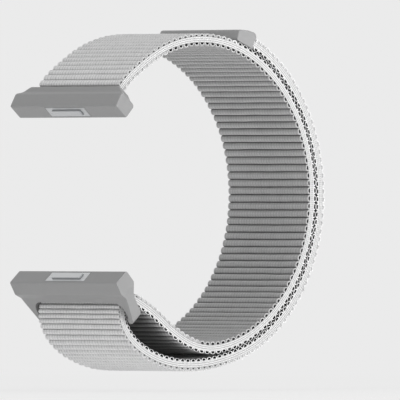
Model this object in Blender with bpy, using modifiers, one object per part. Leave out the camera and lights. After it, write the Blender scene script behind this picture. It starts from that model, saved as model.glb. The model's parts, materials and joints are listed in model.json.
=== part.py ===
"""Nylon hook-and-loop watch strap with its two case connectors, closed as it is when worn.

Metres, +Z up. X runs across the strap, +Y from the watch face to the back of the wrist.
The origin lies on the axis of the upper connector's rail, midway across the strap.
The strap leaves the upper connector, goes over the top, down the back and forward along the
bottom (the wrist leg), turns over the ring connector's bar (the fold), and comes back round
the outside (the return leg) to its end tab at the top.
"""

import math

import bmesh
import bpy
from mathutils import Matrix, Vector

MM = 0.001
ASSEMBLY = "nylon_watch_strap"

# The loop: the line midway through the webbing, seen along X. The tables give an angle about the
# loop's centre, in degrees from +Y, and a share of the radius. In them the anchor bar and the
# ring's bar stand at the two table angles, and at other sizes all their angles follow those bars.
RAIL_SPACING = 39.0 * MM
LOOP_RADIUS = 32.2 * MM
RING_BAR_RADIUS_SHARE = 1.066
TABLE_ANCHOR_ANGLE = 144.89
TABLE_RING_BAR_ANGLE = -134.03
WRIST_LEG_RADIUS_SHARES = (
    (127, 1.043), (115, 1.031), (100, 1.018), (85, 1.007), (65, 0.999), (45, 0.999),
    (25, 1.001), (5, 1.002), (-15, 1.002), (-35, 1.000), (-50, 0.999), (-65, 1.000),
    (-78, 1.002), (-88, 1.001), (-95, 0.991), (-105, 0.962), (-115, 0.932), (-123, 0.921),
)
FOLD_RADIUS_SHARES = ((38, 1.76), (73, 1.44), (111, 1.16), (158, 1.03), (203, 1.07))
FOLD_TOP_ANGLE = 120
FREE_RETURN_RADIUS_SHARES = ((-129, 1.177), (-122, 1.180), (-115, 1.167), (-105, 1.140), (-95, 1.111))
PRESSED_RETURN_ANGLES = (-78, -65, -50, -35, -15, 5, 25, 45, 65, 74.2)

# Webbing: a core tape with a ribbed knit on each face
STRAP_WIDTH = 23.0 * MM
CORE_THICKNESS = 1.25 * MM
RIB_HEIGHT = 0.45 * MM
RIB_VALLEY = 0.12 * MM
RIB_PITCH = 1.658 * MM
RIB_CROWN_SHARES = (0.2, 0.8)
LAYER_GAP = 0.1 * MM
LEG_GAP = 0.25 * MM
SEAM_GAP = 0.3 * MM
GATHER_SHARE = 0.52
GATHER_CENTRE = 0.5 * MM
GATHER_LENGTH = 5.5 * MM

# Lengths along the strap at which one stretch of webbing ends and the next begins
FOLD_LEAD = 4.0 * MM
FOLD_TRAIL = 5.0 * MM
TAIL_LENGTH = 46.0 * MM
TAIL_END_LENGTH = 22.0 * MM

# End tab and its hook patch
TAB_LENGTH = 5.4 * MM
TAB_HEEL_PROUD = 1.3 * MM
TAB_CROWN_PROUD = 0.85 * MM
TAB_TIP_PROUD = 0.05 * MM
TAB_HEEL_ROUND = 1.0 * MM
TAB_CROWN_ROUND = 4.0 * MM
TAB_TIP_ROUND = 0.7 * MM
TAB_LOWER_ROUND = 0.4 * MM
TAB_SIDE_ROUND = 0.4 * MM
HOOK_THICKNESS = 0.4 * MM
HOOK_LENGTH = 3.6 * MM
HOOK_INSET = 0.9 * MM

# Case rails: the foot of each connector, which slides into the case's groove
RAIL_TILT = 39.0
RAIL_LENGTH = 30.8 * MM
RAIL_WIDTH = 4.7 * MM
RAIL_SEAT_WIDTH = 4.0 * MM
RAIL_SEAT_DEPTH = 3.0 * MM
RAIL_SEAT_ROUND = 0.4 * MM
RAIL_EDGE_ROUND = 0.5 * MM
RAIL_CROWN = 0.5 * MM
WEB_RISE = 2.7 * MM
EDGE_ROUND = 0.3 * MM

# Upper connector
ANCHOR_BAR_RADIUS = 0.6 * MM
ANCHOR_RISE = 0.4 * MM
SLEEVE_THICKNESS = 0.55 * MM
MOUTH_CLEARANCE = 0.45 * MM
WEB_THICKNESS = 3.4 * MM
WEB_NECK_RISE = 1.2 * MM
WEB_NECK_ROUND = 1.0 * MM
WEB_TOP_ROUND = 0.4 * MM
WEB_SIDE_MARGIN = 1.0 * MM
WEB_SHOULDER = 14.6 * MM
WEB_SHOULDER_RISE = 0.9 * MM
EXIT_STRAIGHT = 3.6 * MM
RIB_START = 3.0 * MM

# Ring connector
RING_FRONT = 1.55 * MM
RING_FRONT_RISE = 1.6 * MM
RING_FRONT_ROUND = 1.4 * MM
RING_BACK = 1.45 * MM
RING_WAIST = 0.8 * MM
RING_WAIST_RISE = 2.7 * MM
RING_WAIST_ROUND = 2.2 * MM
RING_BACK_RISE = 6.6 * MM
RING_TIP_ROUND = 0.5 * MM
RING_SIDE_CLEARANCE = 1.2 * MM
RING_TIP_CLEARANCE = 0.6 * MM
RING_TIP_LENGTH = 1.4 * MM
RING_TIP_WIDTH = 1.3 * MM
RING_TIP_DROP = 0.8 * MM
RING_SHOULDER = 14.9 * MM
RING_SHOULDER_RISE = 2.9 * MM
RING_SLOT_ROUND = 2.3 * MM
RING_REACH = 6.9 * MM
RING_END_MARGIN = 1.8 * MM
RING_BAR_RADIUS = 0.8 * MM
RING_BAR_SET_BACK = 0.3 * MM
RING_BAR_SEAT = 0.6 * MM
FOLD_CLEARANCE = 0.12 * MM

# Spring latch in each rail
LATCH_LENGTH = 8.0 * MM
LATCH_WIDTH = 1.4 * MM
LATCH_PROUD = 0.4 * MM
LATCH_FLANGE = 0.5 * MM
LATCH_FLANGE_THICKNESS = 0.3 * MM
LATCH_FRAME_THICKNESS = 0.35 * MM
LATCH_FRAME_LENGTH = 11.2 * MM
LATCH_FRAME_WIDTH = 2.8 * MM
SPRING_THICKNESS = 0.12 * MM
SPRING_LENGTH = 6.5 * MM
SPRING_WIDTH = 1.3 * MM
SPRING_STEPS = 10
FIT_CLEARANCE = 0.1 * MM

OVERRUN = 2.0 * MM
MERGE_DISTANCE = 0.001 * MM
CURVE_STEP = 0.2 * MM
ARC_STEP = 15

STRAP_THICKNESS = CORE_THICKNESS + 2 * (LAYER_GAP + RIB_HEIGHT)
LEG_SPACING = STRAP_THICKNESS + LEG_GAP
FOLD_RADIUS = RING_BAR_RADIUS + FOLD_CLEARANCE + STRAP_THICKNESS / 2
SLEEVE_RADIUS = ANCHOR_BAR_RADIUS + FIT_CLEARANCE + SLEEVE_THICKNESS
# Room over the latch, which can be pressed in until it is flush with the seat
SPRING_ROOM = LATCH_PROUD + SPRING_THICKNESS + FIT_CLEARANCE

MATERIALS = {
    "core_nylon": ((0.86, 0.86, 0.85), 0.85, 0.0),
    "rib_nylon": ((0.74, 0.74, 0.74), 0.9, 0.0),
    "tab_polymer": ((0.42, 0.42, 0.42), 0.55, 0.0),
    "hook_nylon": ((0.62, 0.62, 0.62), 0.8, 0.0),
    "connector_polymer": ((0.44, 0.44, 0.44), 0.5, 0.0),
    "bar_steel": ((0.62, 0.63, 0.65), 0.3, 1.0),
    "spring_steel": ((0.5, 0.5, 0.52), 0.35, 1.0),
}


# Scene, collections and materials

def clear_scene():
    for obj in list(bpy.data.objects):
        bpy.data.objects.remove(obj)


def new_collection(name):
    collection = bpy.data.collections.new(name)
    bpy.context.scene.collection.children.link(collection)
    return collection


def make_material(name):
    colour, roughness, metallic = MATERIALS[name]
    material = bpy.data.materials.new(name)
    material.use_nodes = True
    shader = material.node_tree.nodes["Principled BSDF"]
    shader.inputs["Base Color"].default_value = (*colour, 1.0)
    shader.inputs["Roughness"].default_value = roughness
    shader.inputs["Metallic"].default_value = metallic
    material.diffuse_color = (*colour, 1.0)
    return material


# Small geometry helpers

def turn(angle, radius, centre=(0.0, 0.0)):
    """Point at an angle in degrees on a circle, as a pair."""
    along = radius * math.cos(math.radians(angle))
    up = radius * math.sin(math.radians(angle))
    return (centre[0] + along, centre[1] + up)


def arc(centre, radius, start, end):
    """Points on an arc from one angle to another, both included."""
    count = max(2, round(abs(end - start) / ARC_STEP))
    return [turn(start + (end - start) * i / count, radius, centre) for i in range(count + 1)]


def rounded(corners, radii):
    """Outline through convex or concave corners, each rounded by an arc of its own radius."""
    outline = []
    for i, corner in enumerate(corners):
        here = Vector(corner)
        back = (Vector(corners[i - 1]) - here).normalized()
        ahead = (Vector(corners[(i + 1) % len(corners)]) - here).normalized()
        radius = radii[i]
        if not radius:
            outline.append(tuple(here))
            continue
        half = back.angle(ahead) / 2
        centre = here + (back + ahead).normalized() * radius / math.sin(half)
        first = here + back * radius / math.tan(half) - centre
        last = here + ahead * radius / math.tan(half) - centre
        start = math.degrees(math.atan2(first.y, first.x))
        sweep = math.degrees(math.atan2(last.y, last.x)) - start
        sweep = (sweep + 180) % 360 - 180
        outline += arc(tuple(centre), radius, start, start + sweep)
    return outline


class Centreline:
    """Smooth line through points of the Y-Z plane, read by the length along it."""

    def __init__(self, points):
        knots = [0.0]
        for before, after in zip(points, points[1:]):
            knots.append(knots[-1] + math.dist(before, after))
        bends = [self.bends(knots, [point[axis] for point in points]) for axis in (0, 1)]
        self.points = []
        self.tangents = []
        for i in range(len(points) - 1):
            span = knots[i + 1] - knots[i]
            steps = max(2, round(span / CURVE_STEP))
            for step in range(steps + (i == len(points) - 2)):
                share = step / steps
                rest = 1 - share
                place = []
                slope = []
                for axis in (0, 1):
                    low = points[i][axis]
                    high = points[i + 1][axis]
                    bend = bends[axis]
                    pull = (rest ** 3 - rest) * bend[i] + (share ** 3 - share) * bend[i + 1]
                    tilt = (1 - 3 * rest ** 2) * bend[i] + (3 * share ** 2 - 1) * bend[i + 1]
                    place.append(rest * low + share * high + pull * span ** 2 / 6)
                    slope.append((high - low) / span + tilt * span / 6)
                self.points.append(Vector(place))
                self.tangents.append(Vector(slope).normalized())
        self.lengths = [0.0]
        for before, after in zip(self.points, self.points[1:]):
            self.lengths.append(self.lengths[-1] + (after - before).length)
        self.length = self.lengths[-1]

    @staticmethod
    def bends(knots, values):
        """Second derivatives of the natural cubic spline through the values."""
        count = len(values)
        upper = [0.0] * count
        right = [0.0] * count
        for i in range(1, count - 1):
            low = knots[i] - knots[i - 1]
            high = knots[i + 1] - knots[i]
            pivot = 2 * (low + high) - low * upper[i - 1]
            change = (values[i + 1] - values[i]) / high - (values[i] - values[i - 1]) / low
            upper[i] = high / pivot
            right[i] = (6 * change - low * right[i - 1]) / pivot
        result = [0.0] * count
        for i in range(count - 2, 0, -1):
            result[i] = right[i] - upper[i] * result[i + 1]
        return result

    def at(self, length, left=0.0):
        """Point at a length along the line, moved to its left side by a distance."""
        low = 0
        high = len(self.lengths) - 1
        while high - low > 1:
            middle = (low + high) // 2
            if self.lengths[middle] <= length:
                low = middle
            else:
                high = middle
        share = (length - self.lengths[low]) / (self.lengths[high] - self.lengths[low])
        place = self.points[low].lerp(self.points[high], share)
        tangent = self.tangents[low].lerp(self.tangents[high], share).normalized()
        return (place.x - tangent.y * left, place.y + tangent.x * left)

    def nearest(self, place):
        """Length along the line of its point nearest to a place."""
        gaps = [(point - Vector(place)).length for point in self.points]
        return self.lengths[gaps.index(min(gaps))]


# Mesh helpers

def finish(obj, material, collection, smooth=False):
    """Give an object its material and collection, and its shading."""
    for old in list(obj.users_collection):
        old.objects.unlink(obj)
    collection.objects.link(obj)
    obj.data.materials.clear()
    obj.data.materials.append(material)
    if smooth:
        obj.data.shade_smooth()
        obj.data.set_sharp_from_angle(angle=math.radians(40))
    return obj


def plate(name, outline, thickness, matrix, collection):
    """Flat outline drawn as a filled curve, given a thickness and made a closed mesh."""
    curve = bpy.data.curves.new(name, "CURVE")
    curve.dimensions = "2D"
    curve.fill_mode = "BOTH"
    curve.extrude = thickness / 2
    spline = curve.splines.new("POLY")
    spline.points.add(len(outline) - 1)
    for point, (across, up) in zip(spline.points, outline):
        point.co = (across, up, 0, 1)
    spline.use_cyclic_u = True
    drawn = bpy.data.objects.new(name, curve)
    drawn.matrix_world = matrix
    collection.objects.link(drawn)
    bpy.context.view_layer.update()
    graph = bpy.context.evaluated_depsgraph_get()
    mesh = bpy.data.meshes.new_from_object(drawn.evaluated_get(graph))
    mesh.name = name
    shape = bmesh.new()
    shape.from_mesh(mesh)
    bmesh.ops.remove_doubles(shape, verts=shape.verts, dist=MERGE_DISTANCE)
    bmesh.ops.recalc_face_normals(shape, faces=shape.faces)
    shape.to_mesh(mesh)
    shape.free()
    bpy.data.objects.remove(drawn)
    obj = bpy.data.objects.new(name, mesh)
    obj.matrix_world = matrix
    collection.objects.link(obj)
    return obj


def rod(name, radius, length, matrix, collection, sides=24):
    """Round bar along the local X axis, centred on the matrix."""
    mesh = bpy.data.meshes.new(name)
    shape = bmesh.new()
    bmesh.ops.create_cone(
        shape, cap_ends=True, segments=sides, radius1=radius, radius2=radius, depth=length
    )
    bmesh.ops.rotate(shape, verts=shape.verts, matrix=Matrix.Rotation(math.radians(90), 3, "Y"))
    shape.to_mesh(mesh)
    shape.free()
    obj = bpy.data.objects.new(name, mesh)
    obj.matrix_world = matrix
    collection.objects.link(obj)
    return obj


def block(name, low, high, matrix, collection):
    """Box between two local corners."""
    mesh = bpy.data.meshes.new(name)
    shape = bmesh.new()
    bmesh.ops.create_cube(shape, size=1)
    size = Vector(high) - Vector(low)
    bmesh.ops.scale(shape, vec=size, verts=shape.verts)
    bmesh.ops.translate(shape, vec=(Vector(high) + Vector(low)) / 2, verts=shape.verts)
    shape.to_mesh(mesh)
    shape.free()
    obj = bpy.data.objects.new(name, mesh)
    obj.matrix_world = matrix
    collection.objects.link(obj)
    return obj


def add_bevel(obj, width, segments=2, angle=40):
    bevel = obj.modifiers.new("rounded_edges", "BEVEL")
    bevel.width = width
    bevel.segments = segments
    bevel.limit_method = "ANGLE"
    bevel.angle_limit = math.radians(angle)


def combine(obj, tool, operation):
    """Join a tool to an object, or cut the object with it."""
    boolean = obj.modifiers.new(tool.name, "BOOLEAN")
    boolean.operation = operation
    boolean.solver = "EXACT"
    boolean.object = tool
    tool.hide_render = True
    tool.display_type = "WIRE"


def hold(pieces, empty):
    """Parent pieces to an empty and leave them where they are."""
    bpy.context.view_layer.update()
    for piece in pieces:
        piece.parent = empty
        piece.matrix_parent_inverse = empty.matrix_world.inverted()


def axis_empty(name, place, collection, angle=0.0):
    """Empty on a joint's axis, turned about X."""
    empty = bpy.data.objects.new(name, None)
    empty.empty_display_size = RAIL_WIDTH
    empty.matrix_world = Matrix.Translation((0, *place)) @ Matrix.Rotation(math.radians(angle), 4, "X")
    collection.objects.link(empty)
    return empty


# Frames: a plate's outline lies in its local X-Y plane and its thickness along local Z
PROFILE = Matrix(((0, 0, 1, 0), (1, 0, 0, 0), (0, 1, 0, 0), (0, 0, 0, 1)))
PLAN = Matrix(((1, 0, 0, 0), (0, 0, -1, 0), (0, 1, 0, 0), (0, 0, 0, 1)))
UPPER_ANGLE = -RAIL_TILT
LOWER_ANGLE = RAIL_TILT - 180
UPPER_RAIL = (0.0, 0.0)
LOWER_RAIL = (0.0, -RAIL_SPACING)


def in_rail(rail, angle, side, rise):
    """Y-Z place of a point given across and out of a tilted rail."""
    turned = Matrix.Rotation(math.radians(angle), 2) @ Vector((side, rise))
    return (rail[0] + turned.x, rail[1] + turned.y)


ANCHOR = in_rail(UPPER_RAIL, UPPER_ANGLE, 0, ANCHOR_RISE)
RING_BAR = in_rail(LOWER_RAIL, LOWER_ANGLE, -RING_BAR_SET_BACK, RING_REACH)


def loop_centre():
    """Midway between the rails in height, and a share of the loop's radius from the ring's bar."""
    height = -RAIL_SPACING / 2
    reach = LOOP_RADIUS * RING_BAR_RADIUS_SHARE
    return (RING_BAR[0] + math.sqrt(reach ** 2 - (RING_BAR[1] - height) ** 2), height)


def bearing(place):
    """Angle of a place about the loop's centre, in degrees."""
    return math.degrees(math.atan2(place[1] - LOOP_CENTRE[1], place[0] - LOOP_CENTRE[0]))


LOOP_CENTRE = loop_centre()
UPPER_ANGLE_SHARE = bearing(ANCHOR) / TABLE_ANCHOR_ANGLE
LOWER_ANGLE_SHARE = bearing(RING_BAR) / TABLE_RING_BAR_ANGLE


# The strap's line and the stations of its ribs

def on_loop(angle, radius):
    """Place at a table angle and a radius about the loop's centre."""
    share = UPPER_ANGLE_SHARE if angle > 0 else LOWER_ANGLE_SHARE
    return turn(angle * share, radius, LOOP_CENTRE)


def wrist_radius(angle):
    """Radius of the wrist leg at an angle, between its two nearest table entries."""
    table = WRIST_LEG_RADIUS_SHARES
    for (high, upper), (low, lower) in zip(table, table[1:]):
        if low <= angle <= high:
            return LOOP_RADIUS * (lower + (upper - lower) * (angle - low) / (high - low))
    raise ValueError("the wrist leg doesn't reach this angle")


def strap_line():
    points = [ANCHOR, in_rail(UPPER_RAIL, UPPER_ANGLE, 0, ANCHOR_RISE + EXIT_STRAIGHT)]
    points += [on_loop(a, LOOP_RADIUS * share) for a, share in WRIST_LEG_RADIUS_SHARES]
    points += [turn(a, FOLD_RADIUS * share, RING_BAR) for a, share in FOLD_RADIUS_SHARES]
    points += [on_loop(a, LOOP_RADIUS * share) for a, share in FREE_RETURN_RADIUS_SHARES]
    points += [on_loop(a, wrist_radius(a) + LEG_SPACING) for a in PRESSED_RETURN_ANGLES]
    return Centreline(points)


def rib_stations(start, end, fold):
    """Lengths of the valleys between ribs, which draw together near the ring's bar."""
    stations = [start]
    while True:
        distance = (stations[-1] - fold - GATHER_CENTRE) / GATHER_LENGTH
        step = RIB_PITCH * (1 - GATHER_SHARE * math.exp(-distance ** 2))
        if stations[-1] + step > end:
            break
        stations.append(stations[-1] + step)
    slack = (end - stations[-1]) / (len(stations) - 1)
    return [station + slack * i for i, station in enumerate(stations)]


def stretch(stations, start, end):
    """The stations between two lengths, with both ends drawn in by half a seam."""
    kept = [station for station in stations if start - RIB_PITCH / 4 < station < end + RIB_PITCH / 4]
    kept[0] += SEAM_GAP / 2
    kept[-1] -= SEAM_GAP / 2
    return kept


def core_outline(line, stations):
    near = [line.at(station, -CORE_THICKNESS / 2) for station in stations]
    far = [line.at(station, CORE_THICKNESS / 2) for station in stations]
    return near + far[::-1]


def rib_outline(line, stations, side):
    """Ribs on one face: flat against the core, and one crown between each two valleys."""
    seat = CORE_THICKNESS / 2 + LAYER_GAP
    base = [line.at(station, side * seat) for station in stations]
    crest = []
    for station, after in zip(stations, stations[1:]):
        crest.append(line.at(station, side * (seat + RIB_VALLEY)))
        for share in RIB_CROWN_SHARES:
            place = station + (after - station) * share
            crest.append(line.at(place, side * (seat + RIB_HEIGHT)))
    crest.append(line.at(stations[-1], side * (seat + RIB_VALLEY)))
    return base + crest[::-1]


def webbing(name, line, stations, outer_side, materials, collection):
    """One stretch of strap: its core tape and the ribs of its outer and inner faces."""
    core = plate(name + "_webbing", core_outline(line, stations), STRAP_WIDTH, PROFILE, collection)
    finish(core, materials["core_nylon"], collection)
    pieces = [core]
    for face, side in (("outer", outer_side), ("inner", -outer_side)):
        ribs_name = name + "_" + face + "_ribs"
        outline = rib_outline(line, stations, side)
        ribs = plate(ribs_name, outline, STRAP_WIDTH, PROFILE, collection)
        pieces.append(finish(ribs, materials["rib_nylon"], collection))
    return pieces


def add_anchor_sleeve(core, cutters):
    """The strap's sewn end, which wraps the upper connector's bar."""
    place = Matrix.Translation((0, *ANCHOR))
    sleeve = rod("anchor_sleeve_body", SLEEVE_RADIUS, STRAP_WIDTH, place, cutters)
    bore_radius = ANCHOR_BAR_RADIUS + FIT_CLEARANCE
    bore = rod("anchor_sleeve_bore", bore_radius, STRAP_WIDTH + OVERRUN, place, cutters)
    combine(core, sleeve, "UNION")
    combine(core, bore, "DIFFERENCE")


def make_end_tab(line, materials, collection, cutters):
    """Smooth tab that closes the strap's end, and the hook patch in a recess under it."""
    tip = line.length
    heel = tip - TAB_LENGTH
    strap_top = STRAP_THICKNESS / 2
    corners = (
        (0.0, -strap_top), (TAB_LENGTH, -strap_top), (TAB_LENGTH, strap_top + TAB_TIP_PROUD),
        (TAB_LENGTH / 2, strap_top + TAB_CROWN_PROUD), (0.0, strap_top + TAB_HEEL_PROUD),
    )
    radii = (0.0, TAB_LOWER_ROUND, TAB_TIP_ROUND, TAB_CROWN_ROUND, TAB_HEEL_ROUND)
    shape = rounded(corners, radii)
    outline = [line.at(heel + along, -out) for along, out in shape]
    tab = plate("end_tab", outline, STRAP_WIDTH, PROFILE, collection)
    add_bevel(tab, TAB_SIDE_ROUND, segments=3, angle=50)
    recess_start = HOOK_INSET - LAYER_GAP
    recess_end = HOOK_INSET + HOOK_LENGTH + LAYER_GAP
    recess = strap_block(
        "hook_patch_recess", line, heel + recess_start, heel + recess_end,
        -strap_top - OVERRUN, -strap_top + HOOK_THICKNESS + LAYER_GAP,
        STRAP_WIDTH - 2 * recess_start, cutters,
    )
    combine(tab, recess, "DIFFERENCE")
    finish(tab, materials["tab_polymer"], collection, smooth=True)
    patch = strap_block(
        "hook_patch", line, heel + HOOK_INSET, heel + HOOK_INSET + HOOK_LENGTH,
        -strap_top, -strap_top + HOOK_THICKNESS, STRAP_WIDTH - 2 * HOOK_INSET, collection,
    )
    finish(patch, materials["hook_nylon"], collection)
    return [tab, patch]


def strap_block(name, line, start, end, low, high, width, collection):
    """Block between two lengths of the strap and two heights over the middle of its webbing."""
    shape = ((start, low), (end, low), (end, high), (start, high))
    outline = [line.at(along, -out) for along, out in shape]
    return plate(name, outline, width, PROFILE, collection)


# Connectors

def connector_profile(front, back):
    """A connector's section: the rail's seat and edges, and its blade's front and back.

    Each corner of the blade is a distance from the rail's middle, a rise and a rounding.
    """
    rail = (
        (RAIL_SEAT_WIDTH / 2, -RAIL_SEAT_DEPTH, RAIL_SEAT_ROUND),
        (RAIL_WIDTH / 2, 0.0, RAIL_EDGE_ROUND),
    )
    front = rail + front
    back = tuple(reversed(rail + back))
    corners = [(side, rise) for side, rise, _ in front]
    corners += [(-side, rise) for side, rise, _ in back]
    return rounded(corners, [radius for _, _, radius in front + back])


def make_connector(name, profile, plan, frame, collection, cutters):
    """Body with one outline seen along X and another seen along its thickness."""
    body = plate(name, profile, RAIL_LENGTH + OVERRUN, frame @ PROFILE, collection)
    front = plate(name + "_plan", plan, RAIL_WIDTH + OVERRUN, frame @ PLAN, cutters)
    combine(body, front, "INTERSECT")
    add_bevel(body, EDGE_ROUND)
    return body


def latch_recess(name, frame, cutters):
    """Pocket in a rail's seat face, which holds the latch, its spring and its frame."""
    half_length = LATCH_FRAME_LENGTH / 2 + FIT_CLEARANCE
    half_width = LATCH_FRAME_WIDTH / 2 + FIT_CLEARANCE
    depth = LATCH_FRAME_THICKNESS + FIT_CLEARANCE + LATCH_FLANGE_THICKNESS + SPRING_ROOM
    low = (-half_length, -half_width, -RAIL_SEAT_DEPTH - OVERRUN)
    high = (half_length, half_width, -RAIL_SEAT_DEPTH + depth)
    return block(name, low, high, frame, cutters)


def make_latch(prefix, frame, materials, collection, cutters):
    """Sprung latch plate, its retaining frame and its leaf spring, set in a rail's seat."""
    seat = -RAIL_SEAT_DEPTH
    window_length = LATCH_LENGTH / 2 + FIT_CLEARANCE
    window_width = LATCH_WIDTH / 2 + FIT_CLEARANCE
    holder_low = (-LATCH_FRAME_LENGTH / 2, -LATCH_FRAME_WIDTH / 2, seat)
    holder_high = (LATCH_FRAME_LENGTH / 2, LATCH_FRAME_WIDTH / 2, seat + LATCH_FRAME_THICKNESS)
    holder = block(prefix + "_latch_frame", holder_low, holder_high, frame, collection)
    window_low = (-window_length, -window_width, seat - OVERRUN)
    window_high = (window_length, window_width, seat + OVERRUN)
    window = block(prefix + "_latch_window", window_low, window_high, frame, cutters)
    combine(holder, window, "DIFFERENCE")
    finish(holder, materials["bar_steel"], collection)

    flange_low = seat + LATCH_FRAME_THICKNESS + FIT_CLEARANCE
    flange_high = flange_low + LATCH_FLANGE_THICKNESS
    half_length = LATCH_LENGTH / 2
    half_width = LATCH_WIDTH / 2
    head_low = (-half_length, -half_width, seat - LATCH_PROUD)
    head = block(prefix + "_latch_plate", head_low, (half_length, half_width, flange_high), frame, collection)
    flange = block(
        prefix + "_latch_flange",
        (-half_length - LATCH_FLANGE, -half_width - LATCH_FLANGE, flange_low),
        (half_length + LATCH_FLANGE, half_width + LATCH_FLANGE, flange_high),
        frame, cutters,
    )
    combine(head, flange, "UNION")
    finish(head, materials["bar_steel"], collection)

    floor = flange_high + SPRING_ROOM
    rise = floor - flange_high - SPRING_THICKNESS - 2 * FIT_CLEARANCE
    half_spring = SPRING_LENGTH / 2
    bow_radius = (half_spring ** 2 + rise ** 2) / (2 * rise)
    bow_angle = math.degrees(math.asin(half_spring / bow_radius))
    crown = flange_high + FIT_CLEARANCE
    centre = (0.0, crown + bow_radius)
    angles = [-90 + bow_angle * (2 * i / SPRING_STEPS - 1) for i in range(SPRING_STEPS + 1)]
    near = [turn(angle, bow_radius, centre) for angle in angles]
    far = [turn(angle, bow_radius - SPRING_THICKNESS, centre) for angle in angles]
    spring = plate(prefix + "_latch_spring", near + far[::-1], SPRING_WIDTH, frame @ PLAN, collection)
    finish(spring, materials["spring_steel"], collection, smooth=True)
    return holder, head, spring


def make_upper_connector(frame, materials, collection, cutters):
    """Rail and web that hold the strap's sewn end on a steel bar."""
    half_web = WEB_THICKNESS / 2
    blade = ((half_web, WEB_NECK_RISE, WEB_NECK_ROUND), (half_web, WEB_RISE, WEB_TOP_ROUND))
    profile = connector_profile(blade, blade)
    foot = RAIL_LENGTH / 2
    floor = -RAIL_SEAT_DEPTH - OVERRUN
    half_mouth = STRAP_WIDTH / 2 + WEB_SIDE_MARGIN
    corners = (
        (-foot, floor), (foot, floor), (foot, RAIL_CROWN), (WEB_SHOULDER, WEB_SHOULDER_RISE),
        (half_mouth, WEB_RISE + EDGE_ROUND), (-half_mouth, WEB_RISE + EDGE_ROUND),
        (-WEB_SHOULDER, WEB_SHOULDER_RISE), (-foot, RAIL_CROWN),
    )
    body = make_connector("top_connector_body", profile, corners, frame, collection, cutters)

    place = frame @ Matrix.Translation((0, 0, ANCHOR_RISE))
    pocket_length = STRAP_WIDTH + 2 * MOUTH_CLEARANCE
    pocket = rod("sleeve_pocket", SLEEVE_RADIUS + FIT_CLEARANCE, pocket_length, place, cutters)
    half_core = CORE_THICKNESS / 2 + MOUTH_CLEARANCE
    mouth_low = (-pocket_length / 2, -half_core, ANCHOR_RISE)
    mouth_high = (pocket_length / 2, half_core, WEB_RISE + OVERRUN)
    mouth = block("strap_mouth", mouth_low, mouth_high, frame, cutters)
    bar_length = STRAP_WIDTH + 2 * (MOUTH_CLEARANCE + WEB_SIDE_MARGIN)
    seat = rod("anchor_bar_seat", ANCHOR_BAR_RADIUS + FIT_CLEARANCE, bar_length, place, cutters)
    recess = latch_recess("top_latch_recess", frame, cutters)
    for cutter in (pocket, mouth, seat, recess):
        combine(body, cutter, "DIFFERENCE")
    finish(body, materials["connector_polymer"], collection, smooth=True)

    bar = rod("top_anchor_bar", ANCHOR_BAR_RADIUS, bar_length - 2 * FIT_CLEARANCE, place, collection)
    finish(bar, materials["bar_steel"], collection, smooth=True)
    return [body, bar]


def ring_plan():
    """The ring's outline seen along its thickness: the rail's ends, shoulders, arms and slot."""
    foot = RAIL_LENGTH / 2
    floor = -RAIL_SEAT_DEPTH - OVERRUN
    end = RING_REACH + RING_END_MARGIN
    beyond = end + EDGE_ROUND
    inner = STRAP_WIDTH / 2 + RING_SIDE_CLEARANCE
    inner_tip = STRAP_WIDTH / 2 + RING_TIP_CLEARANCE
    right = (
        (foot, floor, 0.0), (foot, RAIL_CROWN, 0.0), (RING_SHOULDER, RING_SHOULDER_RISE, 0.0),
        (inner_tip + RING_TIP_WIDTH, end - RING_TIP_DROP, 0.0), (inner_tip, beyond, 0.0),
        (inner_tip, end - RING_TIP_LENGTH, 0.0),
        (inner, end - RING_TIP_LENGTH - RING_TIP_DROP, 0.0),
        (inner, WEB_RISE, RING_SLOT_ROUND),
    )
    corners = [(across, rise) for across, rise, _ in right]
    corners += [(-across, rise) for across, rise, _ in reversed(right)]
    radii = [radius for _, _, radius in right]
    return rounded(corners, radii + radii[::-1])


def make_ring_connector(frame, materials, collection, cutters):
    """Rail with two arms that carry a steel bar, over which the strap folds back."""
    end = RING_REACH + RING_END_MARGIN
    front = (
        (RING_FRONT, RING_FRONT_RISE, RING_FRONT_ROUND), (RING_FRONT, end, RING_TIP_ROUND),
    )
    back = (
        (RING_WAIST, RING_WAIST_RISE, RING_WAIST_ROUND), (RING_BACK, RING_BACK_RISE, RING_WAIST_ROUND),
        (RING_BACK, end, RING_TIP_ROUND),
    )
    profile = connector_profile(front, back)
    body = make_connector("ring_frame", profile, ring_plan(), frame, collection, cutters)
    place = frame @ Matrix.Translation((0, -RING_BAR_SET_BACK, RING_REACH))
    bar_length = STRAP_WIDTH + 2 * (RING_SIDE_CLEARANCE + RING_BAR_SEAT)
    seat = rod("ring_bar_seat", RING_BAR_RADIUS + FIT_CLEARANCE, bar_length, place, cutters)
    recess = latch_recess("ring_latch_recess", frame, cutters)
    for cutter in (seat, recess):
        combine(body, cutter, "DIFFERENCE")
    finish(body, materials["connector_polymer"], collection, smooth=True)
    bar = rod("ring_bar", RING_BAR_RADIUS, bar_length - 2 * FIT_CLEARANCE, place, collection)
    finish(bar, materials["bar_steel"], collection, smooth=True)
    return [body, bar]


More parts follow.
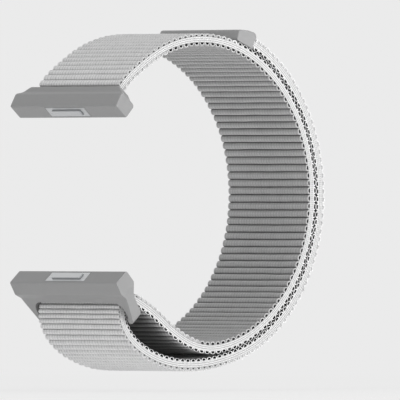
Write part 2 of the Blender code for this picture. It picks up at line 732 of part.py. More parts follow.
def main():
    clear_scene()
    parts = new_collection(ASSEMBLY)
    cutters = new_collection(ASSEMBLY + "_cutters")
    materials = {name: make_material(name) for name in MATERIALS}

    line = strap_line()
    fold = line.nearest(turn(FOLD_TOP_ANGLE, FOLD_RADIUS, RING_BAR))
    heel = line.length - TAB_LENGTH
    stations = rib_stations(RIB_START, heel, fold)
    fold_start = fold - FOLD_LEAD
    fold_end = fold + FOLD_TRAIL
    tail_end = heel - TAIL_END_LENGTH
    tail_start = heel - TAIL_LENGTH
    seams = (fold_start, fold_end, tail_start, tail_end)
    fold_start, fold_end, tail_start, tail_end = [
        min(stations, key=lambda station: abs(station - seam)) for seam in seams
    ]

    upper = axis_empty("top_connector_axis", UPPER_RAIL, parts, UPPER_ANGLE)
    lower = axis_empty("ring_connector_axis", LOWER_RAIL, parts, LOWER_ANGLE)
    strap_axis = axis_empty("strap_pivot_axis", ANCHOR, parts)
    ring_axis = axis_empty("ring_pivot_axis", RING_BAR, parts)
    tail_axis = axis_empty("tail_peel_axis", line.at(tail_start, -STRAP_THICKNESS / 2), parts)
    end_axis = axis_empty("tail_end_peel_axis", line.at(tail_end, -STRAP_THICKNESS / 2), parts)
    bpy.context.view_layer.update()

    wrist_stations = stretch(stations, RIB_START, fold_start)
    wrist = webbing("wrist_leg", line, wrist_stations, 1, materials, parts)
    lead = plate(
        "wrist_leg_lead", core_outline(line, [0.0, RIB_START / 2, wrist_stations[1]]),
        STRAP_WIDTH, PROFILE, cutters,
    )
    combine(wrist[0], lead, "UNION")
    add_anchor_sleeve(wrist[0], cutters)
    turned = webbing("fold", line, stretch(stations, fold_start, fold_end), -1, materials, parts)
    back = webbing("return_leg", line, stretch(stations, fold_end, tail_start), -1, materials, parts)
    tail = webbing("tail", line, stretch(stations, tail_start, tail_end), -1, materials, parts)
    end = webbing("tail_end", line, stretch(stations, tail_end, heel), -1, materials, parts)
    tab = make_end_tab(line, materials, parts, cutters)

    upper_pieces = make_upper_connector(upper.matrix_world.copy(), materials, parts, cutters)
    upper_latch = make_latch("top", upper.matrix_world.copy(), materials, parts, cutters)
    ring_pieces = make_ring_connector(lower.matrix_world.copy(), materials, parts, cutters)
    ring_latch = make_latch("ring", lower.matrix_world.copy(), materials, parts, cutters)

    hold(upper_pieces + list(upper_latch), upper)
    hold(wrist + turned + back, strap_axis)
    hold(tail, tail_axis)
    hold(end + tab, end_axis)
    hold([lower], ring_axis)
    hold(ring_pieces + list(ring_latch), lower)


main()
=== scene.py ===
import json
import math
from collections import namedtuple

import bmesh
import bpy
import numpy as np
from bpy.props import FloatProperty, FloatVectorProperty, IntProperty, PointerProperty
from mathutils import Matrix, Vector


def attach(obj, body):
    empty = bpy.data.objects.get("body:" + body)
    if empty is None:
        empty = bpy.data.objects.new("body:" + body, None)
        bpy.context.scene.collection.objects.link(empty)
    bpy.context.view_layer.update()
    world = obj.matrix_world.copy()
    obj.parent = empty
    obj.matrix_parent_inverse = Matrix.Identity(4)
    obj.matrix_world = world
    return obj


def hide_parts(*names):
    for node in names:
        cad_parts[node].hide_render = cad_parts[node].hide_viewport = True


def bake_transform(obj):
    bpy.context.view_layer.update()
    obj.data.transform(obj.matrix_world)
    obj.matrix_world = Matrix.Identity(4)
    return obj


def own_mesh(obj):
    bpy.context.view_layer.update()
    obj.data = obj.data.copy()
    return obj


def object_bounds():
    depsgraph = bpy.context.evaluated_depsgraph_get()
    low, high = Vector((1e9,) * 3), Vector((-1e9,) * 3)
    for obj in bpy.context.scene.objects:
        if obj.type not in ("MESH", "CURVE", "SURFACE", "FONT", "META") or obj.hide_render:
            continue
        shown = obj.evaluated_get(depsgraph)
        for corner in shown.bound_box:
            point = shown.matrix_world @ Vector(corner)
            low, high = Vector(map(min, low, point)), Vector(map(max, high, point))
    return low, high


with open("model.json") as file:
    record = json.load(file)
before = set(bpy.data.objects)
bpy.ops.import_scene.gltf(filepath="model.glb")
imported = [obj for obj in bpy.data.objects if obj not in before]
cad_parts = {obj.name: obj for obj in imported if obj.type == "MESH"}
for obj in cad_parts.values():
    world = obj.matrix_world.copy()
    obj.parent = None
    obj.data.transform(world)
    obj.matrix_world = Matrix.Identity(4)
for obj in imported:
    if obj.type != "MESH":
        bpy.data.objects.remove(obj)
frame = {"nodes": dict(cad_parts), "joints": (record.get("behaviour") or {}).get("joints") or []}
CAD_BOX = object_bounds()

bl_info = {
    "name": "Nylon watch strap",
    "version": (1, 0, 0),
    "blender": (4, 5, 0),
    "location": "View3D > Sidebar > Strap",
    "description": "Ribbed nylon strap with its case connectors, dressed around its solids",
    "category": "Object",
}

MM = 0.001
UV_NAME = "strap_uv"
# Vertex attribute of painted shade: darkens hollows, valleys, grooves and shaded faces, and paints a
# highlight on rims below 0
SHADOW_NAME = "hollow_shadow"

# The strap's line, from the same values as the part's source
RAIL_SPACING = 39.0 * MM
RAIL_TILT = 39.0
LOOP_RADIUS = 32.2 * MM
RING_BAR_RADIUS_SHARE = 1.066
TABLE_ANCHOR_ANGLE = 144.89
TABLE_RING_BAR_ANGLE = -134.03
WRIST_LEG_RADIUS_SHARES = (
    (127, 1.043), (115, 1.031), (100, 1.018), (85, 1.007), (65, 0.999), (45, 0.999),
    (25, 1.001), (5, 1.002), (-15, 1.002), (-35, 1.000), (-50, 0.999), (-65, 1.000),
    (-78, 1.002), (-88, 1.001), (-95, 0.991), (-105, 0.962), (-115, 0.932), (-123, 0.921),
)
FOLD_RADIUS_SHARES = ((38, 1.76), (73, 1.44), (111, 1.16), (158, 1.03), (203, 1.07))
FOLD_TOP_ANGLE = 120
FREE_RETURN_RADIUS_SHARES = ((-129, 1.177), (-122, 1.180), (-115, 1.167), (-105, 1.140), (-95, 1.111))
PRESSED_RETURN_ANGLES = (-78, -65, -50, -35, -15, 5, 25, 45, 65, 74.2)
STRAP_WIDTH = 23.0 * MM
CORE_THICKNESS = 1.25 * MM
HALF_CORE = CORE_THICKNESS / 2
LAYER_GAP = 0.1 * MM
RIB_HEIGHT = 0.45 * MM
RIB_PITCH = 1.658 * MM
LEG_GAP = 0.25 * MM
GATHER_SHARE = 0.52
GATHER_CENTRE = 0.5 * MM
GATHER_LENGTH = 5.5 * MM
FOLD_LEAD = 4.0 * MM
TAIL_LENGTH = 46.0 * MM
TAIL_END_LENGTH = 22.0 * MM
TAB_LENGTH = 5.4 * MM
HOOK_LENGTH = 3.6 * MM
HOOK_INSET = 0.9 * MM
ANCHOR_BAR_RADIUS = 0.6 * MM
ANCHOR_RISE = 0.4 * MM
SLEEVE_THICKNESS = 0.55 * MM
EXIT_STRAIGHT = 3.6 * MM
RIB_START = 3.0 * MM
RING_REACH = 6.9 * MM
RING_BAR_RADIUS = 0.8 * MM
RING_BAR_SET_BACK = 0.3 * MM
FOLD_CLEARANCE = 0.12 * MM
FIT_CLEARANCE = 0.1 * MM
CURVE_STEP = 0.2 * MM
STRAP_THICKNESS = CORE_THICKNESS + 2 * (LAYER_GAP + RIB_HEIGHT)
LEG_SPACING = STRAP_THICKNESS + LEG_GAP
FOLD_RADIUS = RING_BAR_RADIUS + FOLD_CLEARANCE + STRAP_THICKNESS / 2


# The strap's line and its ribs

def turn(angle, radius, centre=(0.0, 0.0)):
    """Point at an angle in degrees on a circle, as a pair."""
    return (
        centre[0] + radius * math.cos(math.radians(angle)),
        centre[1] + radius * math.sin(math.radians(angle)),
    )


def in_rail(height, angle, side, rise):
    """Y-Z place of a point given across and out of a tilted rail."""
    turned = Matrix.Rotation(math.radians(angle), 2) @ Vector((side, rise))
    return (turned.x, height + turned.y)


ANCHOR = in_rail(0.0, -RAIL_TILT, 0.0, ANCHOR_RISE)
RING_BAR = in_rail(-RAIL_SPACING, RAIL_TILT - 180, -RING_BAR_SET_BACK, RING_REACH)


def loop_centre():
    """Midway between the rails in height, and a share of the loop's radius from the ring's bar."""
    height = -RAIL_SPACING / 2
    reach = LOOP_RADIUS * RING_BAR_RADIUS_SHARE
    return (RING_BAR[0] + math.sqrt(reach ** 2 - (RING_BAR[1] - height) ** 2), height)


LOOP_CENTRE = loop_centre()


def bearing(place):
    """Angle of a place about the loop's centre, in degrees."""
    return math.degrees(math.atan2(place[1] - LOOP_CENTRE[1], place[0] - LOOP_CENTRE[0]))


UPPER_ANGLE_SHARE = bearing(ANCHOR) / TABLE_ANCHOR_ANGLE
LOWER_ANGLE_SHARE = bearing(RING_BAR) / TABLE_RING_BAR_ANGLE


def on_loop(angle, radius):
    """Place at a table angle and a radius about the loop's centre."""
    share = UPPER_ANGLE_SHARE if angle > 0 else LOWER_ANGLE_SHARE
    return turn(angle * share, radius, LOOP_CENTRE)


class StrapLine:
    """The line midway through the webbing, in the Y-Z plane, read by the length along it."""

    def __init__(self, points):
        points = np.array(points)
        spans = np.linalg.norm(np.diff(points, axis=0), axis=1)
        count = len(points)
        system = np.eye(count)
        pull = np.zeros((count, 2))
        for i in range(1, count - 1):
            system[i, i - 1:i + 2] = (spans[i - 1], 2 * (spans[i - 1] + spans[i]), spans[i])
            after = (points[i + 1] - points[i]) / spans[i]
            before = (points[i] - points[i - 1]) / spans[i - 1]
            pull[i] = 6 * (after - before)
        bends = np.linalg.solve(system, pull)
        places = []
        slopes = []
        for i, span in enumerate(spans):
            steps = max(2, round(span / CURVE_STEP))
            share = np.linspace(0, 1, steps + 1)[:, None]
            if i < count - 2:
                share = share[:-1]
            rest = 1 - share
            low = bends[i]
            high = bends[i + 1]
            bow = (rest ** 3 - rest) * low + (share ** 3 - share) * high
            tilt = (1 - 3 * rest ** 2) * low + (3 * share ** 2 - 1) * high
            places.append(rest * points[i] + share * points[i + 1] + bow * span ** 2 / 6)
            slopes.append((points[i + 1] - points[i]) / span + tilt * span / 6)
        self.places = np.concatenate(places)
        slopes = np.concatenate(slopes)
        self.tangents = slopes / np.linalg.norm(slopes, axis=1)[:, None]
        gaps = np.linalg.norm(np.diff(self.places, axis=0), axis=1)
        self.lengths = np.concatenate([[0.0], np.cumsum(gaps)])
        self.length = self.lengths[-1]

    def at(self, length, left):
        """Y and Z at lengths along the line, moved to its left side."""
        y, z = [np.interp(length, self.lengths, self.places[:, axis]) for axis in (0, 1)]
        along, up = [np.interp(length, self.lengths, self.tangents[:, axis]) for axis in (0, 1)]
        size = np.hypot(along, up)
        return y - up / size * left, z + along / size * left

    def nearest(self, place):
        """Length along the line of its point nearest to a place."""
        gaps = np.linalg.norm(self.places - np.array(place), axis=1)
        return self.lengths[np.argmin(gaps)]


def strap_line():
    """From the anchor bar round the loop, over the ring's bar and back round the outside to the tab."""
    points = [ANCHOR, in_rail(0.0, -RAIL_TILT, 0.0, ANCHOR_RISE + EXIT_STRAIGHT)]
    points += [on_loop(a, LOOP_RADIUS * share) for a, share in WRIST_LEG_RADIUS_SHARES]
    points += [turn(a, FOLD_RADIUS * share, RING_BAR) for a, share in FOLD_RADIUS_SHARES]
    points += [on_loop(a, LOOP_RADIUS * share) for a, share in FREE_RETURN_RADIUS_SHARES]
    angles, shares = zip(*WRIST_LEG_RADIUS_SHARES[::-1])
    for angle in PRESSED_RETURN_ANGLES:
        wrist = LOOP_RADIUS * float(np.interp(angle, angles, shares))
        points.append(on_loop(angle, wrist + LEG_SPACING))
    return StrapLine(points)


def rib_valleys(start, end, fold):
    """Lengths of the valleys between ribs, which draw together near the ring's bar."""
    valleys = [start]
    while True:
        distance = (valleys[-1] - fold - GATHER_CENTRE) / GATHER_LENGTH
        step = RIB_PITCH * (1 - GATHER_SHARE * math.exp(-distance ** 2))
        if valleys[-1] + step > end:
            break
        valleys.append(valleys[-1] + step)
    slack = (end - valleys[-1]) / (len(valleys) - 1)
    return np.array(valleys) + slack * np.arange(len(valleys))


LINE = strap_line()
FOLD = LINE.nearest(turn(FOLD_TOP_ANGLE, FOLD_RADIUS, RING_BAR))
HEEL = LINE.length - TAB_LENGTH
VALLEYS = rib_valleys(RIB_START, HEEL, FOLD)


def valley_near(length):
    """Number of the valley nearest to a length."""
    return int(np.argmin(np.abs(VALLEYS - length)))


# Bands: the wrist leg, the return leg as far as the tail, and the tail
FIRST_SEAM = valley_near(FOLD - FOLD_LEAD)
TAIL_SEAM = valley_near(HEEL - (TAIL_LENGTH + TAIL_END_LENGTH) / 2)
BANDS = (
    ("wrist_leg", 0, FIRST_SEAM),
    ("return_leg", FIRST_SEAM, TAIL_SEAM),
    ("tail", TAIL_SEAM, len(VALLEYS) - 1),
)
PEEL_SPREAD = 1.6 * MM


# Settings

def length_setting(name, description, default):
    return FloatProperty(name=name, description=description, default=default, unit="LENGTH", precision=5)


def number_setting(name, description, default):
    return FloatProperty(name=name, description=description, default=default)


def colour_setting(name, description, default):
    return FloatVectorProperty(
        name=name, description=description, default=default, subtype="COLOR", size=3, min=0, max=1
    )


class StrapWebbingSettings(bpy.types.PropertyGroup):
    """Sizes of the webbing's core, ribs and tunnels."""

    crest: length_setting("Crest", "Height of the pressed faces' ribs over the core", 0.62 * MM)
    worn_crest: length_setting("Worn crest", "Height of the other faces' ribs over the core", 0.74 * MM)
    valley: length_setting("Valley", "Height of the knit between two ribs", 0.04 * MM)
    tunnel_height: length_setting("Tunnel height", "Height of the hollow under a rib", 0.5 * MM)
    tunnel_share: number_setting("Tunnel share", "Share of a rib's width that is hollow", 0.58)
    wander: length_setting("Wander", "How far a valley strays from its straight line", 0.035 * MM)
    unevenness: number_setting("Unevenness", "How much the ribs' heights differ", 0.05)
    cord_depth: length_setting("Cord depth", "Depth of the grooves between the edge's cords", 0.09 * MM)
    cords: IntProperty(name="Cords", description="Cords side by side in the woven edge", default=3, min=1)


class StrapFinishSettings(bpy.types.PropertyGroup):
    """Colours of the strap's finishes."""

    knit: colour_setting("Knit", "Nylon of the ribbed faces", (0.85, 0.85, 0.855))
    core: colour_setting("Core", "Nylon of the woven core", (0.87, 0.87, 0.87))
    tab: colour_setting("Tab", "Moulded end tab", (0.35, 0.35, 0.352))
    hook: colour_setting("Hooks", "Hook patch under the tab", (0.5, 0.5, 0.5))
    connector: colour_setting("Connector", "Satin case connectors", (0.315, 0.315, 0.317))
    steel: colour_setting("Steel", "Bars, latches and springs", (0.6, 0.61, 0.62))


class StrapStageSettings(bpy.types.PropertyGroup):
    """Floor, lamps and camera."""

    backdrop: number_setting("Backdrop", "Brightness behind the strap", 0.83)
    near_glow: number_setting("Near glow", "Floor's glow round the strap", 1.1)
    table: number_setting("Table", "Light from the floor onto the strap", 0.27)
    ambient: number_setting("Ambient", "Light from all sides", 0.3)
    top_lamp: number_setting("Top lamp", "Power of the soft lamp above", 0.55)
    side_lamp: number_setting("Side lamp", "Power of the soft lamp at the right", 2.0)
    front_lamp: number_setting("Front lamp", "Power of the soft lamp high in front", 0.82)
    azimuth: FloatProperty(
        name="Azimuth", description="Camera's direction round the strap", default=math.radians(43.25),
        subtype="ANGLE",
    )


# Meshes

# Angles over which an edge is drawn sharp, in degrees
RIB_SHARP_ANGLE = 50
CORE_SHARP_ANGLE = 60
SLEEVE_SHARP_ANGLE = 40


def make_mesh(name, vertices, faces, uv=None, shadow=None, material=None, smooth_angle=180):
    """Mesh object with outward normals, with one UV and one painted shade value for each vertex."""
    mesh = bpy.data.meshes.new(name)
    mesh.from_pydata([tuple(v) for v in vertices], [], faces)
    shape = bmesh.new()
    shape.from_mesh(mesh)
    bmesh.ops.recalc_face_normals(shape, faces=shape.faces)
    shape.to_mesh(mesh)
    shape.free()
    if uv is not None:
        corners = np.empty(len(mesh.loops), dtype=np.int32)
        mesh.loops.foreach_get("vertex_index", corners)
        layer = mesh.uv_layers.new(name=UV_NAME)
        layer.data.foreach_set("uv", np.asarray(uv, dtype=np.float32)[corners].ravel())
    if shadow is not None:
        attribute = mesh.attributes.new(SHADOW_NAME, "FLOAT", "POINT")
        attribute.data.foreach_set("value", shadow.astype(np.float32))
    mesh.shade_smooth()
    if smooth_angle < 180:
        mesh.set_sharp_from_angle(angle=math.radians(smooth_angle))
    if material:
        mesh.materials.append(material)
    obj = bpy.data.objects.new(name, mesh)
    bpy.context.scene.collection.objects.link(obj)
    return obj


def tube_faces(rings):
    """Quads between each ring of points and the next."""
    rings = np.asarray(rings)
    beside = np.roll(rings, -1, axis=1)
    return np.stack([rings[:-1], beside[:-1], beside[1:], rings[1:]], axis=-1).reshape(-1, 4).tolist()


def capped_tube(rings):
    """A tube's faces, with its two ends closed."""
    return tube_faces(rings) + [rings[0].tolist(), rings[-1].tolist()]


# Smoothing draws the rolls together, and this spreads them again
UNEVEN_GAIN = 1.6
SMOOTHING_ROUNDS = 2


def uneven_field(seed, columns):
    """Smooth seeded unevenness from about -1 to 1, one row for each valley of the whole strap."""
    rolls = np.random.RandomState(seed).uniform(-1, 1, (len(VALLEYS), columns))
    for _ in range(SMOOTHING_ROUNDS):
        padded = np.pad(rolls, ((0, 0), (1, 1)), mode="edge")
        rolls = (padded[:, :-2] + 2 * padded[:, 1:-1] + padded[:, 2:]) / 4
    return rolls * UNEVEN_GAIN


# Rib outline: shares of its width, height over the valley as a share, and how much shade is painted on the
# knit there;
# a hollow's rim has its points, the next valley's and two in the core
FOOT_SHARE = 0.035
ARCH_SHARES = np.array([0.0, 0.02, 0.06, 0.13, 0.25, 0.5, 0.75, 0.87, 0.94, 0.98, 1.0])
ARCH_POWER = 2.1
OUTLINE_SHARES = np.concatenate([[0.0], FOOT_SHARE + (1 - 2 * FOOT_SHARE) * ARCH_SHARES])
OUTLINE_HEIGHTS = np.concatenate([[0.0], (1 - np.abs(2 * ARCH_SHARES - 1) ** ARCH_POWER) ** 0.5])
OUTLINE_PAINTED_SHADE = np.array([0.75, 0.65, 0.4, 0.14, 0.03, 0.0, 0.0, 0.0, 0.03, 0.14, 0.4, 0.65])
RIB_POINTS = len(OUTLINE_SHARES)
RIM_POINTS = RIB_POINTS + 3

# Face: its rounded edges, the columns of points between them, how much of its straying a valley keeps
# at the edges, how much the painted shade is lightened at the fringe, how far in the painted shade changes,
# how steeply a leaning painted shade falls, and how deep the face sits in the core
EDGE_ROUND = 0.16 * MM
COLUMN_INSET = 0.9 * MM
INNER_COLUMNS = 15
EDGE_WANDER_SHARE = 0.4
FRINGE_PAINTED_LIGHT = 0.25
FACE_REACH = 3.4 * MM
LEAN_POWER = 1.5
BASE_DEPTH = 0.03 * MM
FACE_SEED = 20
EDGES = (0, -1)

# Hollow: an arch swept in degrees from foot to foot, its centre and radius as shares of the tunnel's
# height, its lift over the core, and how far in its mouth is
HOLLOW_SWEEP = (222, -42)
HOLLOW_CENTRE_SHARE = 0.36
HOLLOW_RADIUS_SHARE = 0.64
HOLLOW_LIFT = 0.04 * MM
MOUTH_DEPTH = 0.05 * MM

# Hollows at a rib's ends: size share, depth, painted shade inside and painted shade of the rim (below 0, a
# painted highlight); then how much shade is painted in its valleys, on its first side (its last side below
# 0) and where both roll off, and over its face near the edge and in the middle
RibKind = namedtuple("RibKind", "hole depth dark rim valley lean roll near middle")
# The wall's kinds differ only in painted shade: over the face, and leaning to each rib's first side in the
# upper wall and to its last side in the lower wall
UPPER_WALL_RIB = RibKind(0.9, 4.0 * MM, 0.97, 0.5, 0.95, 0.42, 0.0, 0.3, 0.3)
MIDDLE_WALL_RIB = RibKind(0.9, 4.0 * MM, 0.97, 0.5, 0.95, 0.0, 0.1, 0.38, 0.38)
LOWER_WALL_RIB = RibKind(0.9, 4.0 * MM, 0.97, 0.5, 0.95, -0.36, 0.0, 0.27, 0.27)
# The pressed and lens kinds paint shade into the gap between the legs: near the edges, and deep in the
# middle
PRESSED_RIB = RibKind(1.0, 4.0 * MM, 0.99, -0.6, 1.0, 0.0, 0.3, 0.9, 0.15)
LENS_RIB = RibKind(1.0, 4.0 * MM, 0.98, -0.6, 1.0, 0.0, 0.6, 0.0, 0.65)
WORN_RIB = RibKind(0.55, 0.6 * MM, 0.6, 0.48, 0.4, 0.0, 0.05, 0.08, 0.08)
TOP_RIB = RibKind(0.6, 0.6 * MM, 0.66, 0.52, 0.45, 0.0, 0.06, 0.0, 0.0)
CLOSED_RIB = RibKind(0.75, 0.12 * MM, 0.35, 0.35, 0.4, 0.0, 0.05, 0.0, 0.0)
PALE_RIB = RibKind(0.75, 0.12 * MM, 0.3, 0.22, 0.4, 0.0, 0.05, 0.14, 0.08)
SHADE_COLUMNS = slice(RibKind._fields.index("rim"), None)
EVENING_ROUNDS = 5


def evened(shades):
    """Painted shades of a row of ribs, drawn together so that one kind passes softly into the next."""
    for _ in range(EVENING_ROUNDS):
        padded = np.pad(shades, ((1, 1), (0, 0)), mode="edge")
        shades = (padded[:-2] + padded[1:-1] + padded[2:]) / 3
    return shades


def across_places():
    """Places of the face's columns of points across the strap."""
    half = STRAP_WIDTH / 2
    inner = np.linspace(-half + COLUMN_INSET, half - COLUMN_INSET, INNER_COLUMNS)
    ends = np.array([0.0, EDGE_ROUND])
    return np.concatenate([-half + ends, inner, half - ends[::-1]])


class RibFace:
    """The ribbed knit on one face between two valleys, each rib hollow at its two ends."""

    def __init__(self, first, last, side, settings, kinds, crests):
        self.first = first
        self.ribs = last - first
        self.side = side
        self.settings = settings
        self.kinds = RibKind(*[column[:, None] for column in kinds.T])
        self.crests = crests
        self.across = across_places()
        self.valleys = VALLEYS[first:last + 1]
        fields = [uneven_field(FACE_SEED + side + i, len(self.across))[first:last + 1] for i in (0, 1)]
        self.wander = fields[0] * settings.wander
        self.wander[:, EDGES] *= EDGE_WANDER_SHARE
        self.swell = 1 + fields[1] * settings.unevenness
        self.vertices = []
        self.uvs = []
        self.shades = []
        self.total = 0

    def add(self, x, y, z, rib_number, shade):
        """Take in a block of points, and give their numbers laid out as the block is."""
        x, y, z, rib_number, shade = np.broadcast_arrays(x, y, z, rib_number, shade)
        self.vertices.append(np.stack([x, y, z], axis=-1).reshape(-1, 3))
        self.uvs.append(np.stack([rib_number, x / MM], axis=-1).reshape(-1, 2))
        self.shades.append(shade.ravel())
        numbers = self.total + np.arange(x.size).reshape(x.shape)
        self.total += x.size
        return numbers

    def crown(self):
        """The rounded tops of the ribs with the valleys between them."""
        shares = np.append(np.tile(OUTLINE_SHARES, self.ribs), 0.0)[:, None]
        rise = np.append(np.tile(OUTLINE_HEIGHTS, self.ribs), 0.0)[:, None]
        index = np.append(np.repeat(np.arange(self.ribs), RIB_POINTS), self.ribs)
        following = np.minimum(index + 1, self.ribs)
        own = np.minimum(index, self.ribs - 1)
        start = self.valleys[index][:, None] + self.wander[index]
        end = self.valleys[following][:, None] + self.wander[following]
        length = start + (end - start) * shares
        valley = self.settings.valley
        height = valley + (self.crests[own][:, None] - valley) * rise * self.swell[index]
        y, z = LINE.at(length, self.side * (HALF_CORE + height))
        rib_numbers = self.first + index[:, None] + shares
        return self.add(self.across, y, z, rib_numbers, self.crown_shade(own, shares))

    def crown_shade(self, own, shares):
        """Painted shade of the knit in its valleys, on the ribs' sides and over the width of the face."""
        kind = RibKind(*[column[own] for column in self.kinds])
        outline = np.append(np.tile(OUTLINE_PAINTED_SHADE, self.ribs), OUTLINE_PAINTED_SHADE[0])[:, None]
        inside = np.clip((STRAP_WIDTH / 2 - np.abs(self.across)) / FACE_REACH, 0, 1)
        inside = inside ** 2 * (3 - 2 * inside)
        roll = 0.5 + 0.5 * np.cos(2 * np.pi * shares)
        lean = np.where(kind.lean > 0, 1 - shares, shares) ** LEAN_POWER * np.abs(kind.lean)
        face = kind.near + (kind.middle - kind.near) * inside
        shade = 1 - (1 - outline * kind.valley) * (1 - kind.roll * roll) * (1 - lean) * (1 - face)
        # Painted light at the face's two edges: the rim's painted shade, lessened by the fringe's
        # lightening
        shade[:, EDGES] = kind.rim - FRINGE_PAINTED_LIGHT
        return shade

    def base(self):
        """Points in the core under each valley, at both edges, carrying the rim's painted shade."""
        y, z = LINE.at(self.valleys, self.side * (HALF_CORE - BASE_DEPTH))
        rim_painted_shades = np.append(self.kinds.rim, self.kinds.rim[-1])
        rib_numbers = self.first + np.arange(self.ribs + 1)
        return np.stack([self.add(self.across[edge], y, z, rib_numbers, rim_painted_shades) for edge in EDGES], axis=1)

    def hollows(self):
        """Rings round each rib's two hollows: at its rim, in its mouth and at its far end, with the rim's
        painted shade at the rim and painted shade inside.
        """
        kinds = self.kinds
        sweep = np.radians(np.linspace(*HOLLOW_SWEEP, RIM_POINTS))
        share = 0.5 + self.settings.tunnel_share * kinds.hole / 2 * np.cos(sweep)
        arch = HOLLOW_CENTRE_SHARE + HOLLOW_RADIUS_SHARE * np.sin(sweep)
        rise = np.maximum(self.settings.tunnel_height * kinds.hole * arch, 0.0) + HOLLOW_LIFT
        rib_numbers = self.first + np.arange(self.ribs)[:, None] + share
        pitch = np.diff(self.valleys)[:, None]
        steps = ((0.0, kinds.rim), (MOUTH_DEPTH, kinds.dark), (kinds.depth, kinds.dark))
        rings = []
        for edge in EDGES:
            rim = self.across[edge]
            place = (self.valleys[:-1] + self.wander[:-1, edge])[:, None] + pitch * share
            y, z = LINE.at(place, self.side * (HALF_CORE + rise))
            rings.append([
                self.add(rim - np.sign(rim) * inward, y, z, rib_numbers, shade) for inward, shade in steps
            ])
        return rings

    def make(self, name, material):
        """Mesh object of the face, closed at both edges by the hollows' walls."""
        grid = self.crown()
        base = self.base()
        hollows = self.hollows()
        faces = np.stack([grid[:-1, :-1], grid[:-1, 1:], grid[1:, 1:], grid[1:, :-1]], axis=-1)
        faces = faces.reshape(-1, 4).tolist()
        faces += np.stack([base[:-1, 0], base[1:, 0], base[1:, 1], base[:-1, 1]], axis=-1).tolist()
        for row in (0, -1):
            faces.append([*grid[row], base[row, 1], base[row, 0]])
        for i in range(self.ribs):
            for edge in EDGES:
                outline = grid[i * RIB_POINTS:(i + 1) * RIB_POINTS + 1, edge]
                rings = [[base[i, edge], *outline, base[i + 1, edge]], *[ring[i] for ring in hollows[edge]]]
                faces += tube_faces(rings)
                faces.append(rings[-1].tolist())
        return make_mesh(
            name, np.concatenate(self.vertices), faces, np.concatenate(self.uvs),
            np.concatenate(self.shades), material, RIB_SHARP_ANGLE,
        )


# Woven core: steps along it and over a cord, how full the cords are, and how round its corner is, over
# one of so many parts of half the thickness
CORE_STEP = 0.4 * MM
CORD_STEPS = 6
CORD_POWER = 0.9
CORNER_ROUND = 0.12 * MM
CORNER_PARTS = 6


def core_band(name, start, end, material, settings):
    """The woven core between two lengths, with its edge worked as cords side by side, and painted shade for
    the grooves between them.
    """
    steps = round((end - start) / CORE_STEP)
    lengths = np.linspace(start, end, steps + 1)[:, None]
    edge = np.linspace(-1, 1, settings.cords * CORD_STEPS + 1)
    phase = (edge + 1) / 2 * settings.cords
    groove = settings.cord_depth * (1 - np.abs(np.sin(np.pi * phase)) ** CORD_POWER)
    corner = CORNER_ROUND * np.clip(np.abs(edge) * CORNER_PARTS - (CORNER_PARTS - 1), 0, 1) ** 2
    reach = STRAP_WIDTH / 2 - groove - corner
    section_x = np.concatenate([reach, -reach[::-1]])
    section_t = np.concatenate([edge, edge[::-1]]) * HALF_CORE
    around = np.concatenate([[0.0], np.cumsum(np.hypot(np.diff(section_x), np.diff(section_t)))])
    # Painted shade in the grooves between the cords, as deep as each groove
    groove_painted_shade = np.concatenate([groove, groove[::-1]]) / settings.cord_depth
    y, z = LINE.at(lengths, section_t)
    x, along, around, shadow = [
        np.broadcast_to(values, y.shape) for values in (section_x, lengths / MM, around / MM, groove_painted_shade)
    ]
    vertices = np.stack([x, y, z], axis=-1).reshape(-1, 3)
    uv = np.stack([along, around], axis=-1).reshape(-1, 2)
    faces = capped_tube(np.arange(y.size).reshape(y.shape))
    return make_mesh(name, vertices, faces, uv, shadow.ravel(), material, CORE_SHARP_ANGLE)


# Finishes

WHITE = (1.0, 1.0, 1.0)
NOISE_ROUGHNESS = 0.55
NOISE_DETAIL = 3.0
SOFT_NOISE_DETAIL = 2.0
FIBRE_SHEEN = 0.15


class Wire:
    """A shader socket that can stand in sums, products and powers."""

    def __init__(self, tree, socket):
        self.tree = tree
        self.socket = socket

    def maths(self, operation, *values):
        return self.tree.node("ShaderNodeMath", {"operation": operation}, dict(enumerate(values)))

    def __add__(self, other):
        return self.maths("ADD", self, other)

    def __sub__(self, other):
        return self.maths("SUBTRACT", self, other)

    def __rsub__(self, other):
        return self.maths("SUBTRACT", other, self)

    def __mul__(self, other):
        return self.maths("MULTIPLY", self, other)

    def __truediv__(self, other):
        return self.maths("DIVIDE", self, other)

    def __rtruediv__(self, other):
        return self.maths("DIVIDE", other, self)

    def __pow__(self, other):
        return self.maths("POWER", self, other)

    def __rpow__(self, other):
        return self.maths("POWER", other, self)

    def __abs__(self):
        return self.maths("ABSOLUTE", self)

    __radd__ = __add__
    __rmul__ = __mul__

    def fraction(self):
        return self.maths("FRACT", self)

    def wave(self):
        """Rises from 0 to 1 and falls again between each two whole numbers."""
        half_turn = self.fraction() * math.pi
        return half_turn.maths("SINE", half_turn)

    def larger(self, other):
        return self.maths("MAXIMUM", self, other)

    def clamped(self):
        return self.tree.node("ShaderNodeClamp", {}, {0: self})

    def other(self, output):
        """Another output of the same node."""
        return Wire(self.tree, self.socket.node.outputs[output])


class NodeTree:
    """The nodes of a material or of the world."""

    def __init__(self, tree):
        self.tree = tree

    def node(self, kind, settings, inputs, output=0):
        """Any node, with its settings set first and then its sockets."""
        made = self.tree.nodes.new(kind)
        for name, value in settings.items():
            setattr(made, name, value)
        for name, value in inputs.items():
            self.feed(made.inputs[name], value)
        return Wire(self, made.outputs[output])

    def feed(self, socket, value):
        """Link a wire to a socket, or set the socket's own value."""
        if isinstance(value, Wire):
            self.tree.links.new(value.socket, socket)
        else:
            socket.default_value = value


